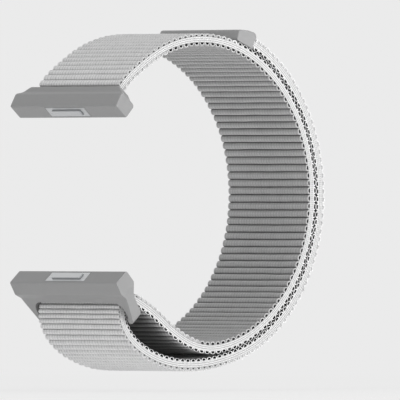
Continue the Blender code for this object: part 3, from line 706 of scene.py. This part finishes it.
class Finish(NodeTree):
    """A material with one Principled shader, and what feeds it."""

    def __init__(self, name, roughness, metallic=0.0):
        self.material = bpy.data.materials.new(name)
        self.material.use_nodes = True
        super().__init__(self.material.node_tree)
        self.shader = self.tree.nodes["Principled BSDF"]
        self.set("Roughness", roughness)
        self.set("Metallic", metallic)

    def set(self, name, value):
        self.feed(self.shader.inputs[name], value)

    def mix(self, share, low, high):
        """Colour between two, by a share."""
        low, high = [(*c, 1.0) if isinstance(c, tuple) else c for c in (low, high)]
        return self.node("ShaderNodeMix", {"data_type": "RGBA"}, {0: share, 6: low, 7: high}, 2)

    def tint(self, share, colour, factors):
        """Between a darker and a lighter form of a colour, by a share."""
        low, high = [shade(colour, factor) for factor in factors]
        return self.mix(share, low, high)

    def noise(self, place, scale, detail=NOISE_DETAIL):
        sockets = {"Vector": place, "Scale": scale, "Detail": detail, "Roughness": NOISE_ROUGHNESS}
        return self.node("ShaderNodeTexNoise", {}, sockets)

    def bump(self, height, depth, strength):
        sockets = {"Height": height, "Distance": depth, "Strength": strength}
        self.set("Normal", self.node("ShaderNodeBump", {}, sockets))

    def fibre(self, gloss):
        """The soft sheen of nylon fibre."""
        self.set("Sheen Weight", FIBRE_SHEEN)
        self.set("Specular IOR Level", gloss)

    def uneven_gloss(self, roughness, spread, pattern):
        """Roughness that a pattern from 0 to 1 varies by a spread either way."""
        self.set("Roughness", roughness - spread + pattern * (2 * spread))

    def emission(self, colour, strength):
        return self.node("ShaderNodeEmission", {}, {"Color": colour, "Strength": strength})

    def strap_place(self):
        """Rib number and millimetres across (or millimetres along and around the core)."""
        place = self.node("ShaderNodeUVMap", {"uv_map": UV_NAME}, {})
        along = self.node("ShaderNodeSeparateXYZ", {}, {0: place})
        return along, along.other(1)

    def shadow(self):
        """Painted shade from 0 to 1 in hollows, valleys, grooves and over shaded faces, or a painted
        highlight below 0 at a rim.
        """
        return self.node("ShaderNodeAttribute", {"attribute_name": SHADOW_NAME}, {}, 2)

    def flat_place(self, x, y):
        return self.node("ShaderNodeCombineXYZ", {}, {0: x, 1: y})

    def solid_place(self):
        return self.node("ShaderNodeTexCoord", {}, {}, "Object")


def shade(colour, factor):
    """A colour made darker or lighter, up to white."""
    return tuple(min(1.0, channel * factor) for channel in colour)


def weighted(patterns, weights):
    """Sum of patterns, each times its weight."""
    return sum(pattern * weight for pattern, weight in zip(patterns, weights))


# Knit: columns of stitches by their width in millimetres, how far they stray, how many stitches a rib
# holds, how far a stitch's sides lean, and how full a column is
COLUMN_WIDTH = 0.76
COLUMN_STRAY = 1.2
STITCHES_PER_RIB = 3.0
STITCH_LEAN = 0.9
COLUMN_POWER = 3

# Its mottling: millimetres that a rib counts for in each noise, the noises' scales, the weights of
# stitch, column, cloud and speckle in the tone, tints, the weights and depth of the relief, and gloss
STRAY_PER_RIB = 0.9
MOTTLE_PER_RIB = 1.6
STRAY_SCALE = 0.7
CLOUD_SCALE = 0.35
SPECKLE_SCALE = 3.2
KNIT_WEIGHTS = (0.3, 0.28, 0.35, 0.4)
KNIT_SHIFT = 0.15
KNIT_TINTS = (0.66, 1.22)
KNIT_RELIEF_WEIGHTS = (0.8, 0.35, 0.5)
KNIT_RELIEF = (0.055 * MM, 0.9)
# Colour of the painted highlight on rims, and tint of the painted shade at its deepest
RIM_PAINTED_HIGHLIGHT = (0.93, 0.93, 0.93)
PAINTED_SHADE_TINT = 0.02
KNIT_ROUGHNESS = 0.85
KNIT_GLOSS = 0.25


def knit_finish(colour):
    """Ribbed nylon knit: columns of small stitches along the strap, with soft mottling, painted shade and
    painted highlights on the rims.
    """
    finish = Finish("ribbed nylon knit", KNIT_ROUGHNESS)
    rib, across = finish.strap_place()
    stray = finish.noise(finish.flat_place(rib * STRAY_PER_RIB, across), STRAY_SCALE)
    column = across / COLUMN_WIDTH + stray * COLUMN_STRAY
    lean = abs(column.fraction() - 0.5)
    bulge = (rib * STITCHES_PER_RIB + lean * STITCH_LEAN).wave()
    round_column = 1 - (lean * 2) ** COLUMN_POWER
    stitch = bulge * round_column
    mottle_place = finish.flat_place(rib * MOTTLE_PER_RIB, across)
    cloud = finish.noise(mottle_place, CLOUD_SCALE)
    speckle = finish.noise(mottle_place, SPECKLE_SCALE, SOFT_NOISE_DETAIL)
    tone = weighted((stitch, round_column, cloud, speckle), KNIT_WEIGHTS) - KNIT_SHIFT
    knit = finish.tint(tone.clamped(), colour, KNIT_TINTS)
    # Painted light: above 0 the attribute paints shade down to near black, below 0 it paints the rims'
    # highlight
    shadow = finish.shadow()
    knit_with_rim_highlight = finish.mix((shadow * -1).clamped(), knit, RIM_PAINTED_HIGHLIGHT)
    finish.set("Base Color", finish.mix(shadow.clamped(), knit_with_rim_highlight, shade(colour, PAINTED_SHADE_TINT)))
    finish.bump(weighted((stitch, round_column, speckle), KNIT_RELIEF_WEIGHTS), *KNIT_RELIEF)
    finish.fibre(KNIT_GLOSS)
    return finish.material


# Core: picks, their stagger and its lines, threads and dashes of painted groove shade in a millimetre, the
# noise's squeeze and scale, the weights of pick, thread and cloud in the tone, tints, how much of the
# painted groove shade stays between dashes and its tint, the weights and depth of the relief, and gloss
PICKS = 2.6
PICK_STAGGER = 0.5
STAGGER_LINES = 5.0
THREADS = 7.0
DASHES = 2.4
WEAVE_SQUEEZE = 3
WEAVE_CLOUD_SCALE = 0.7
WEAVE_WEIGHTS = (0.25, 0.3, 0.45)
WEAVE_TINTS = (0.85, 1.12)
GROOVE_SHARE = 0.3
GROOVE_PAINTED_SHADE_TINT = 0.25
WEAVE_RELIEF_WEIGHTS = (0.5, 1.0)
WEAVE_RELIEF = (0.03 * MM, 0.8)
WEAVE_ROUGHNESS = 0.8
WEAVE_GLOSS = 0.3


def core_finish(colour):
    """Woven nylon core: fine cords along the strap, crossed by small picks, with painted shade in dashes
    along the grooves between the cords.
    """
    finish = Finish("woven nylon core", WEAVE_ROUGHNESS)
    along, around = finish.strap_place()
    pick = (along * PICKS + (around * STAGGER_LINES).fraction() * PICK_STAGGER).wave()
    thread = (around * THREADS).wave()
    cloud = finish.noise(finish.flat_place(along, around * WEAVE_SQUEEZE), WEAVE_CLOUD_SCALE)
    tone = weighted((pick, thread, cloud), WEAVE_WEIGHTS).clamped()
    weave = finish.tint(tone, colour, WEAVE_TINTS)
    # Painted shade in the grooves between the cords, broken into dashes along them
    groove = finish.shadow() * (GROOVE_SHARE + (along * DASHES).wave() * (1 - GROOVE_SHARE))
    finish.set("Base Color", finish.mix(groove, weave, shade(colour, GROOVE_PAINTED_SHADE_TINT)))
    finish.bump(weighted((pick, thread), WEAVE_RELIEF_WEIGHTS), *WEAVE_RELIEF)
    finish.fibre(WEAVE_GLOSS)
    return finish.material


# Moulded polymer: roughness and grain of each, how much coarser the cloud is than the grain, the
# weights of cloud and grain in the tone, tints, spread of the roughness and depth of the relief
TAB_SURFACE = (0.55, 7000.0)
HOOK_SURFACE = (0.6, 2600.0)
CONNECTOR_SURFACE = (0.42, 9000.0)
CLOUD_COARSENESS = 14
MOULDED_WEIGHTS = (0.6, 0.4)
MOULDED_TINTS = (0.93, 1.07)
MOULDED_GLOSS_SPREAD = 0.06
MOULDED_RELIEF = (0.006 * MM, 0.35)


def moulded_finish(name, colour, roughness, grain):
    """Moulded polymer with a fine grain and slightly uneven gloss."""
    finish = Finish(name, roughness)
    place = finish.solid_place()
    fine = finish.noise(place, grain)
    cloud = finish.noise(place, grain / CLOUD_COARSENESS, SOFT_NOISE_DETAIL)
    finish.set("Base Color", finish.tint(weighted((cloud, fine), MOULDED_WEIGHTS), colour, MOULDED_TINTS))
    finish.uneven_gloss(roughness, MOULDED_GLOSS_SPREAD, cloud)
    finish.bump(fine, *MOULDED_RELIEF)
    return finish.material


# Brushed steel: roughness of the bars and of the darker springs, scale of its lines along each axis,
# tints, spread of the roughness and depth of the relief
BAR_ROUGHNESS = 0.3
SPRING_ROUGHNESS = 0.36
SPRING_TINT = 0.8
BRUSH_SCALES = (120.0, 9000.0, 9000.0)
BRUSHED_TINTS = (0.85, 1.08)
BRUSHED_GLOSS_SPREAD = 0.08
BRUSHED_RELIEF = (0.004 * MM, 0.5)


def brushed_finish(name, colour, roughness):
    """Steel with fine lines along the strap's width."""
    finish = Finish(name, roughness, 1.0)
    sockets = {0: finish.solid_place(), 1: BRUSH_SCALES}
    place = finish.node("ShaderNodeVectorMath", {"operation": "MULTIPLY"}, sockets)
    lines = finish.noise(place, 1.0, SOFT_NOISE_DETAIL)
    finish.set("Base Color", finish.tint(lines, colour, BRUSHED_TINTS))
    finish.uneven_gloss(roughness, BRUSHED_GLOSS_SPREAD, lines)
    finish.bump(lines, *BRUSHED_RELIEF)
    return finish.material


def give_material(node_name, material):
    """Put a material on all slots of one of the part's solids."""
    for slot in frame["nodes"][node_name].material_slots:
        slot.material = material


def soften(node_name, width, segments, angle):
    """Round the edges of a moulded piece that turn by more than an angle."""
    node = frame["nodes"][node_name]
    bevel = node.modifiers.new("soft edge", "BEVEL")
    bevel.width = width
    bevel.segments = segments
    bevel.limit_method = "ANGLE"
    bevel.angle_limit = math.radians(angle)
    node.modifiers.new("even shading", "WEIGHTED_NORMAL").keep_sharp = True


def round_over(node_name, grid, rounds):
    """Wear a moulded piece's edges down to soft rounds, on a fine even mesh."""
    node = frame["nodes"][node_name]
    fine = node.modifiers.new("even mesh", "REMESH")
    fine.mode = "VOXEL"
    fine.voxel_size = grid
    fine.use_smooth_shade = True
    node.modifiers.new("soft round", "SMOOTH").iterations = rounds


# Operators

# The joint at which a band bends, and the bodies before and after it
BAND_BENDS = {
    "return_leg": ("tail_peel", "strap", "tail"),
    "tail": ("tail_end_peel", "tail", "tail_end"),
}


def joint_named(name):
    return next(joint for joint in frame["joints"] if joint["name"] == name)


def ride_band(obj, band):
    """The wrist leg's mesh follows the strap's body; the other bands' meshes have their placing baked in.
    """
    if band not in BAND_BENDS:
        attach(obj, "strap")
        return
    joint, low, high = BAND_BENDS[band]
    hinge = joint_named(joint)["pos_m"]
    length = LINE.nearest(hinge[1:])
    before, after = [LINE.at(length + step, 0.0) for step in (-PEEL_SPREAD, PEEL_SPREAD)]
    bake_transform(obj)


# The core starts in the sewn sleeve's wall and ends inside the tab
CORE_START = 0.9 * MM
CORE_IN_TAB = 0.4 * MM


class STRAP_OT_webbing(bpy.types.Operator):
    """Make the woven core of the whole strap, in three bands that meet at rib valleys"""

    bl_idname = "strap.webbing"
    bl_label = "Woven core"

    def execute(self, context):
        settings = context.scene.strap_webbing
        material = core_finish(tuple(context.scene.strap_finish.core))
        ends = {
            "wrist_leg": ("wrist_leg_webbing",),
            "return_leg": ("fold_webbing", "return_leg_webbing"),
            "tail": ("tail_webbing", "tail_end_webbing"),
        }
        for band, first, last in BANDS:
            start = CORE_START if band == "wrist_leg" else VALLEYS[first]
            end = HEEL + CORE_IN_TAB if band == "tail" else VALLEYS[last]
            obj = core_band(band + "_core", start, end, material, settings)
            ride_band(obj, band)
            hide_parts(*ends[band])
        return {"FINISHED"}


# Lengths along the strap at which its ribs change from one kind to another
WALL_START = 20.0 * MM
WALL_MIDDLE = 84.0 * MM
WALL_MIDDLE_REACH = 9.0 * MM
WALL_END = 136.0 * MM
FRONT_END = FOLD + 40.0 * MM
LENS_START = 132.0 * MM
LENS_END = FOLD + 22.0 * MM


def rib_kind(band, side, length, covered):
    """Hollows are open between the legs and inside the loop, and drawn shut on the outside; each kind also
    carries its painted shade.
    """
    if band == "wrist_leg":
        if side == -1:
            if not WALL_START < length < WALL_END:
                return CLOSED_RIB
            if abs(length - WALL_MIDDLE) < WALL_MIDDLE_REACH:
                return MIDDLE_WALL_RIB
            return UPPER_WALL_RIB if length < WALL_MIDDLE else LOWER_WALL_RIB
        if length < covered:
            return TOP_RIB
        return PRESSED_RIB if length < LENS_START else LENS_RIB
    if side == 1:
        return LENS_RIB if length < LENS_END else PRESSED_RIB
    return WORN_RIB if length < FRONT_END else PALE_RIB


# Ribs at the ring's bar are pressed lower, so that the ring can turn over them
MOUTH_CREST = 0.5 * MM
MOUTH_PLACE = FOLD - 1.0 * MM
MOUTH_REACH = 2.6 * MM


def crest_heights(side, lengths, settings):
    """Height of each rib over the core."""
    if side == 1:
        return np.full(len(lengths), settings.crest)
    pressed = np.exp(-((lengths - MOUTH_PLACE) / MOUTH_REACH) ** 2)
    return settings.worn_crest + (MOUTH_CREST - settings.worn_crest) * pressed


class STRAP_OT_ribs(bpy.types.Operator):
    """Make the ribbed knit on both faces of the strap"""

    bl_idname = "strap.ribs"
    bl_label = "Ribbed knit"

    def execute(self, context):
        settings = context.scene.strap_webbing
        material = knit_finish(tuple(context.scene.strap_finish.knit))
        nodes = {
            ("wrist_leg", 1): ("wrist_leg_outer_ribs",),
            ("wrist_leg", -1): ("wrist_leg_inner_ribs",),
            ("return_leg", 1): ("fold_inner_ribs", "return_leg_inner_ribs"),
            ("return_leg", -1): ("fold_outer_ribs", "return_leg_outer_ribs"),
            ("tail", 1): ("tail_inner_ribs", "tail_end_inner_ribs"),
            ("tail", -1): ("tail_outer_ribs", "tail_end_outer_ribs"),
        }
        covered = LINE.nearest(on_loop(PRESSED_RETURN_ANGLES[-1], LOOP_RADIUS))
        middles = (VALLEYS[:-1] + VALLEYS[1:]) / 2
        for band, first, last in BANDS:
            for side, face in ((1, "pressed"), (-1, "worn")):
                kinds = np.array([rib_kind(band, side, middle, covered) for middle in middles[first:last]])
                kinds[:, SHADE_COLUMNS] = evened(kinds[:, SHADE_COLUMNS])
                crests = crest_heights(side, middles[first:last], settings)
                rib_face = RibFace(first, last, side, settings, kinds, crests)
                obj = rib_face.make(band + "_" + face + "_ribs", material)
                ride_band(obj, band)
                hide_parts(*nodes[band, side])
        return {"FINISHED"}


SLEEVE_SIDES = 40


class STRAP_OT_sleeve(bpy.types.Operator):
    """Make the strap's sewn end, which wraps the upper connector's bar"""

    bl_idname = "strap.sleeve"
    bl_label = "Sewn sleeve"

    def execute(self, context):
        inner = ANCHOR_BAR_RADIUS + FIT_CLEARANCE
        outer = inner + SLEEVE_THICKNESS
        half = STRAP_WIDTH / 2
        section = [
            (half, inner), (half, outer - EDGE_ROUND), (half - EDGE_ROUND, outer),
            (EDGE_ROUND - half, outer), (-half, outer - EDGE_ROUND), (-half, inner),
        ]
        vertices = []
        uv = []
        for i in range(SLEEVE_SIDES):
            angle = 360 * i / SLEEVE_SIDES
            for x, radius in section:
                vertices.append((x, *turn(angle, radius, ANCHOR)))
                uv.append((math.radians(angle) * outer / MM, x / MM))
        rings = np.arange(len(vertices)).reshape(SLEEVE_SIDES, len(section))
        faces = tube_faces(np.append(rings, rings[:1], axis=0))
        material = bpy.data.materials["woven nylon core"]
        obj = make_mesh("anchor_sleeve", vertices, faces, uv, None, material, SLEEVE_SHARP_ANGLE)
        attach(obj, "strap")
        return {"FINISHED"}


# Hooks of the patch: spacing, how far their roots are sunk, and the bent line of one as lengths along
# the strap and heights in millimetres, with the shares of its wire's radius
HOOK_SPACING = 0.45 * MM
HOOK_ROW_SPACING = 0.42 * MM
HOOK_SINK = 0.005 * MM
HOOK_WIRE_RADIUS = 0.035 * MM
HOOK_BEND = ((0.0, -0.03), (0.0, 0.1), (0.03, 0.17), (0.1, 0.2), (0.17, 0.16), (0.18, 0.1))
HOOK_RADIUS_SHARES = (1.2, 1.0, 1.0, 0.95, 0.85, 0.6)
HOOK_SIDES = 5


def hook_rows(material):
    """Rows of small bent hooks that stand on the patch's face, turned by turns either way."""
    bend = np.array(HOOK_BEND) * MM
    tangent = np.gradient(bend, axis=0)
    tangent /= np.linalg.norm(tangent, axis=1)[:, None]
    angles = np.arange(HOOK_SIDES) * 2 * np.pi / HOOK_SIDES
    thickness = HOOK_WIRE_RADIUS * np.array(HOOK_RADIUS_SHARES)
    aside = thickness[:, None] * np.sin(angles)
    out = thickness[:, None] * np.cos(angles)
    along = bend[:, :1] - tangent[:, 1:] * out
    height = bend[:, 1:] + tangent[:, :1] * out
    rows = int((HOOK_LENGTH - 2 * HOOK_SPACING) / HOOK_ROW_SPACING) + 1
    columns = int((STRAP_WIDTH - 2 * HOOK_INSET - 2 * HOOK_SPACING) / HOOK_SPACING) + 1
    one = capped_tube(np.arange(out.size).reshape(out.shape))
    vertices = []
    faces = []
    for row in range(rows):
        start = HEEL + HOOK_INSET + HOOK_SPACING + row * HOOK_ROW_SPACING
        for column in range(columns):
            way = 1 if (row + column) % 2 else -1
            x = (column - (columns - 1) / 2) * HOOK_SPACING + aside
            y, z = LINE.at(start + way * along, STRAP_THICKNESS / 2 - HOOK_SINK + height)
            base = len(vertices) * out.size
            vertices.append(np.stack([x, y, z], axis=-1).reshape(-1, 3))
            faces += [[base + i for i in face] for face in one]
    return make_mesh("hook_rows", np.concatenate(vertices), faces, material=material)


# End tab: its fine mesh, and how many times that mesh is smoothed
TAB_GRID = 0.13 * MM
TAB_ROUNDS = 16


class STRAP_OT_tab(bpy.types.Operator):
    """Finish the moulded end tab and its hook patch"""

    bl_idname = "strap.tab"
    bl_label = "End tab"

    def execute(self, context):
        colours = context.scene.strap_finish
        give_material("end_tab", moulded_finish("soft moulded tab", tuple(colours.tab), *TAB_SURFACE))
        hook_nylon = moulded_finish("hook patch nylon", tuple(colours.hook), *HOOK_SURFACE)
        give_material("hook_patch", hook_nylon)
        hooks = hook_rows(hook_nylon)
        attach(hooks, "tail_end")
        round_over("end_tab", TAB_GRID, TAB_ROUNDS)
        return {"FINISHED"}


# Connectors: width and segments of a softened edge, and the turn in degrees from which it is softened
SOFT_EDGE = 0.12 * MM
SOFT_EDGE_SEGMENTS = 3
SOFT_EDGE_ANGLE = 28


class STRAP_OT_connectors(bpy.types.Operator):
    """Finish the two case connectors"""

    bl_idname = "strap.connectors"
    bl_label = "Case connectors"

    def execute(self, context):
        colour = tuple(context.scene.strap_finish.connector)
        material = moulded_finish("satin connector", colour, *CONNECTOR_SURFACE)
        for node in ("top_connector_body", "ring_frame"):
            give_material(node, material)
            soften(node, SOFT_EDGE, SOFT_EDGE_SEGMENTS, SOFT_EDGE_ANGLE)
        return {"FINISHED"}


# A latch's travel, and how much of the room that it leaves is taken by the flattened spring
LATCH_TRAVEL = 0.4 * MM
FLAT_SPRING_SHARE = 0.9


def leaf_spring(side, body, material):
    """A copy of a latch's leaf spring in spring steel, attached to its connector in place of the solid."""
    solid = frame["nodes"][side + "_latch_spring"]
    spring = bpy.data.objects.new(side + "_leaf_spring", solid.data.copy())
    spring.matrix_world = solid.matrix_world
    bpy.context.scene.collection.objects.link(spring)
    spring.data.materials[0] = material
    way = Vector(joint_named(side + "_latch_press")["axis"]).normalized()
    places = [spring.matrix_world @ v.co for v in spring.data.vertices]
    reaches = [place.dot(way) for place in places]
    seat = places[reaches.index(max(reaches))] + way * FIT_CLEARANCE
    room = max(reaches) - min(reaches) + FIT_CLEARANCE
    keep = (room + FIT_CLEARANCE - LATCH_TRAVEL) / room * FLAT_SPRING_SHARE
    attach(spring, body)
    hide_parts(side + "_latch_spring")
    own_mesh(spring)


class STRAP_OT_fittings(bpy.types.Operator):
    """Finish the steel bars and latches, and make the leaf springs"""

    bl_idname = "strap.fittings"
    bl_label = "Steel fittings"

    def execute(self, context):
        colour = tuple(context.scene.strap_finish.steel)
        bright = brushed_finish("brushed steel", colour, BAR_ROUGHNESS)
        spring = brushed_finish("spring steel", shade(colour, SPRING_TINT), SPRING_ROUGHNESS)
        for node in ("top_anchor_bar", "ring_bar"):
            give_material(node, bright)
        for side, body in (("top", "top_connector"), ("ring", "ring_connector")):
            give_material(side + "_latch_frame", bright)
            give_material(side + "_latch_plate", bright)
            leaf_spring(side, body, spring)
        return {"FINISHED"}


# Stage

# The floor lies this far below the strap at rest, which dips when it swings on its anchor bar
SWING_ROOM = 4.5 * MM
FLOOR_RADIUS = 12.0
FLOOR_SIDES = 60
FLOOR_COLOUR = (0.92, 0.92, 0.92)
FLOOR_ROUGHNESS = 0.9

# What the camera sees of the floor is this share glow near the strap, and all glow from this far on
GLOW_SHARE = 0.7
GLOW_REACH = 0.35

# Soft lamps: name, setting that holds the power, size and place
LAMPS = (
    ("top softbox", "top_lamp", 0.6, (0.05, 0.05, 0.5)),
    ("side softbox", "side_lamp", 0.3, (0.5, 0.1, 0.0)),
    ("front softbox", "front_lamp", 0.4, (0.0, -0.45, 0.4)),
)
LAMP_AIM = (0.0, 0.03, -0.02)

# Camera: far away with a long lens for a nearly parallel view, and where it aims: to the right, nearer
# than the part's origin, and below it
CAMERA_DISTANCE = 3.0
CAMERA_LENS = 1296
CAMERA_SENSOR = 36
CAMERA_RANGE = 40.0
AIM_RIGHT = 26.27 * MM
AIM_NEARER = 7.0 * MM
AIM_HEIGHT = -20.65 * MM


def lay_floor(settings):
    """Pale floor that holds the strap's shadow, glows onto the strap from below, and glows like the
    backdrop where the camera sees it.
    """
    finish = Finish("pale floor", FLOOR_ROUGHNESS)
    finish.set("Base Color", (*FLOOR_COLOUR, 1.0))
    ray = finish.node("ShaderNodeLightPath", {}, {}, "Is Camera Ray")
    reach = finish.node("ShaderNodeVectorMath", {"operation": "LENGTH"}, {0: finish.solid_place()}, 1)
    far = (reach / GLOW_REACH).clamped()
    glow = finish.emission(finish.mix(far, (settings.near_glow,) * 3, WHITE), settings.backdrop)
    # The floor glows onto the strap from below, as a lamp would
    table = finish.emission((*WHITE, 1.0), settings.table)
    lit = Wire(finish, finish.shader.outputs[0])
    below = finish.node("ShaderNodeAddShader", {}, {0: lit, 1: table})
    glow_share = GLOW_SHARE + far * (1 - GLOW_SHARE)
    seen = finish.node("ShaderNodeMixShader", {}, {0: glow_share, 1: lit, 2: glow})
    mixed = finish.node("ShaderNodeMixShader", {}, {0: ray, 1: below, 2: seen})
    finish.feed(finish.tree.nodes["Material Output"].inputs[0], mixed)
    height = CAD_BOX[0][2] - SWING_ROOM
    rim = [(*turn(360 * i / FLOOR_SIDES, FLOOR_RADIUS), height) for i in range(FLOOR_SIDES)]
    floor = make_mesh("floor", rim, [list(range(FLOOR_SIDES))], material=finish.material)


def light_world(scene, settings):
    """Even light from all sides, as bright as the backdrop to the camera and in reflections."""
    world = bpy.data.worlds.new("soft surroundings")
    world.use_nodes = True
    scene.world = world
    nodes = NodeTree(world.node_tree)
    camera_ray = nodes.node("ShaderNodeLightPath", {}, {}, "Is Camera Ray")
    seen = camera_ray.larger(camera_ray.other("Is Glossy Ray"))
    strength = nodes.node("ShaderNodeMix", {}, {0: seen, 2: settings.ambient, 3: settings.backdrop})
    background = world.node_tree.nodes["Background"]
    nodes.feed(background.inputs["Strength"], strength)
    nodes.feed(background.inputs["Color"], (*WHITE, 1.0))


def area_lamp(name, power, size, place):
    """Square soft lamp aimed at the strap, unseen by the camera."""
    light = bpy.data.lights.new(name, "AREA")
    light.energy = power
    light.size = size
    lamp = bpy.data.objects.new(name, light)
    lamp.location = place
    lamp.rotation_euler = (Vector(LAMP_AIM) - Vector(place)).to_track_quat("-Z", "Y").to_euler()
    lamp.visible_camera = False
    bpy.context.scene.collection.objects.link(lamp)


def place_camera(scene, azimuth):
    """Level camera at an azimuth round the strap."""
    sight = Vector((-math.sin(azimuth), math.cos(azimuth), 0))
    right = Vector((math.cos(azimuth), math.sin(azimuth), 0))
    target = right * AIM_RIGHT - sight * AIM_NEARER + Vector((0, 0, AIM_HEIGHT))
    camera = bpy.data.cameras.new("camera")
    camera.lens = CAMERA_LENS
    camera.sensor_width = CAMERA_SENSOR
    camera.clip_end = CAMERA_RANGE
    holder = bpy.data.objects.new("camera", camera)
    holder.location = target - sight * CAMERA_DISTANCE
    holder.rotation_euler = sight.to_track_quat("-Z", "Y").to_euler()
    scene.collection.objects.link(holder)
    scene.camera = holder


class STRAP_OT_stage(bpy.types.Operator):
    """Set the floor, lamps and camera"""

    bl_idname = "strap.stage"
    bl_label = "Stage"

    def execute(self, context):
        scene = context.scene
        settings = scene.strap_stage
        scene.view_settings.view_transform = "Standard"
        lay_floor(settings)
        light_world(scene, settings)
        for name, power_setting, size, place in LAMPS:
            area_lamp(name, getattr(settings, power_setting), size, place)
        place_camera(scene, settings.azimuth)
        return {"FINISHED"}


OPERATORS = (
    STRAP_OT_webbing, STRAP_OT_ribs, STRAP_OT_sleeve, STRAP_OT_tab,
    STRAP_OT_connectors, STRAP_OT_fittings, STRAP_OT_stage,
)
SETTINGS = {
    "strap_webbing": StrapWebbingSettings,
    "strap_finish": StrapFinishSettings,
    "strap_stage": StrapStageSettings,
}


class STRAP_PT_panel(bpy.types.Panel):
    """Lists the strap's pieces and the stage"""

    bl_label = "Nylon watch strap"
    bl_space_type = "VIEW_3D"
    bl_region_type = "UI"
    bl_category = "Strap"

    def draw(self, context):
        for operator in OPERATORS:
            self.layout.operator(operator.bl_idname)
        for name, group in SETTINGS.items():
            box = self.layout.box()
            for setting in group.__annotations__:
                box.prop(getattr(context.scene, name), setting)


def register():
    for group in SETTINGS.values():
        bpy.utils.register_class(group)
    for operator in OPERATORS:
        bpy.utils.register_class(operator)
    bpy.utils.register_class(STRAP_PT_panel)
    for name, group in SETTINGS.items():
        setattr(bpy.types.Scene, name, PointerProperty(type=group))


def unregister():
    for name in SETTINGS:
        delattr(bpy.types.Scene, name)
    bpy.utils.unregister_class(STRAP_PT_panel)
    for operator in reversed(OPERATORS):
        bpy.utils.unregister_class(operator)
    for group in reversed(SETTINGS.values()):
        bpy.utils.unregister_class(group)


def main():
    register()
    for operator in OPERATORS:
        group, name = operator.bl_idname.split(".")
        getattr(getattr(bpy.ops, group), name)()


if __name__ == "__main__":
    main()
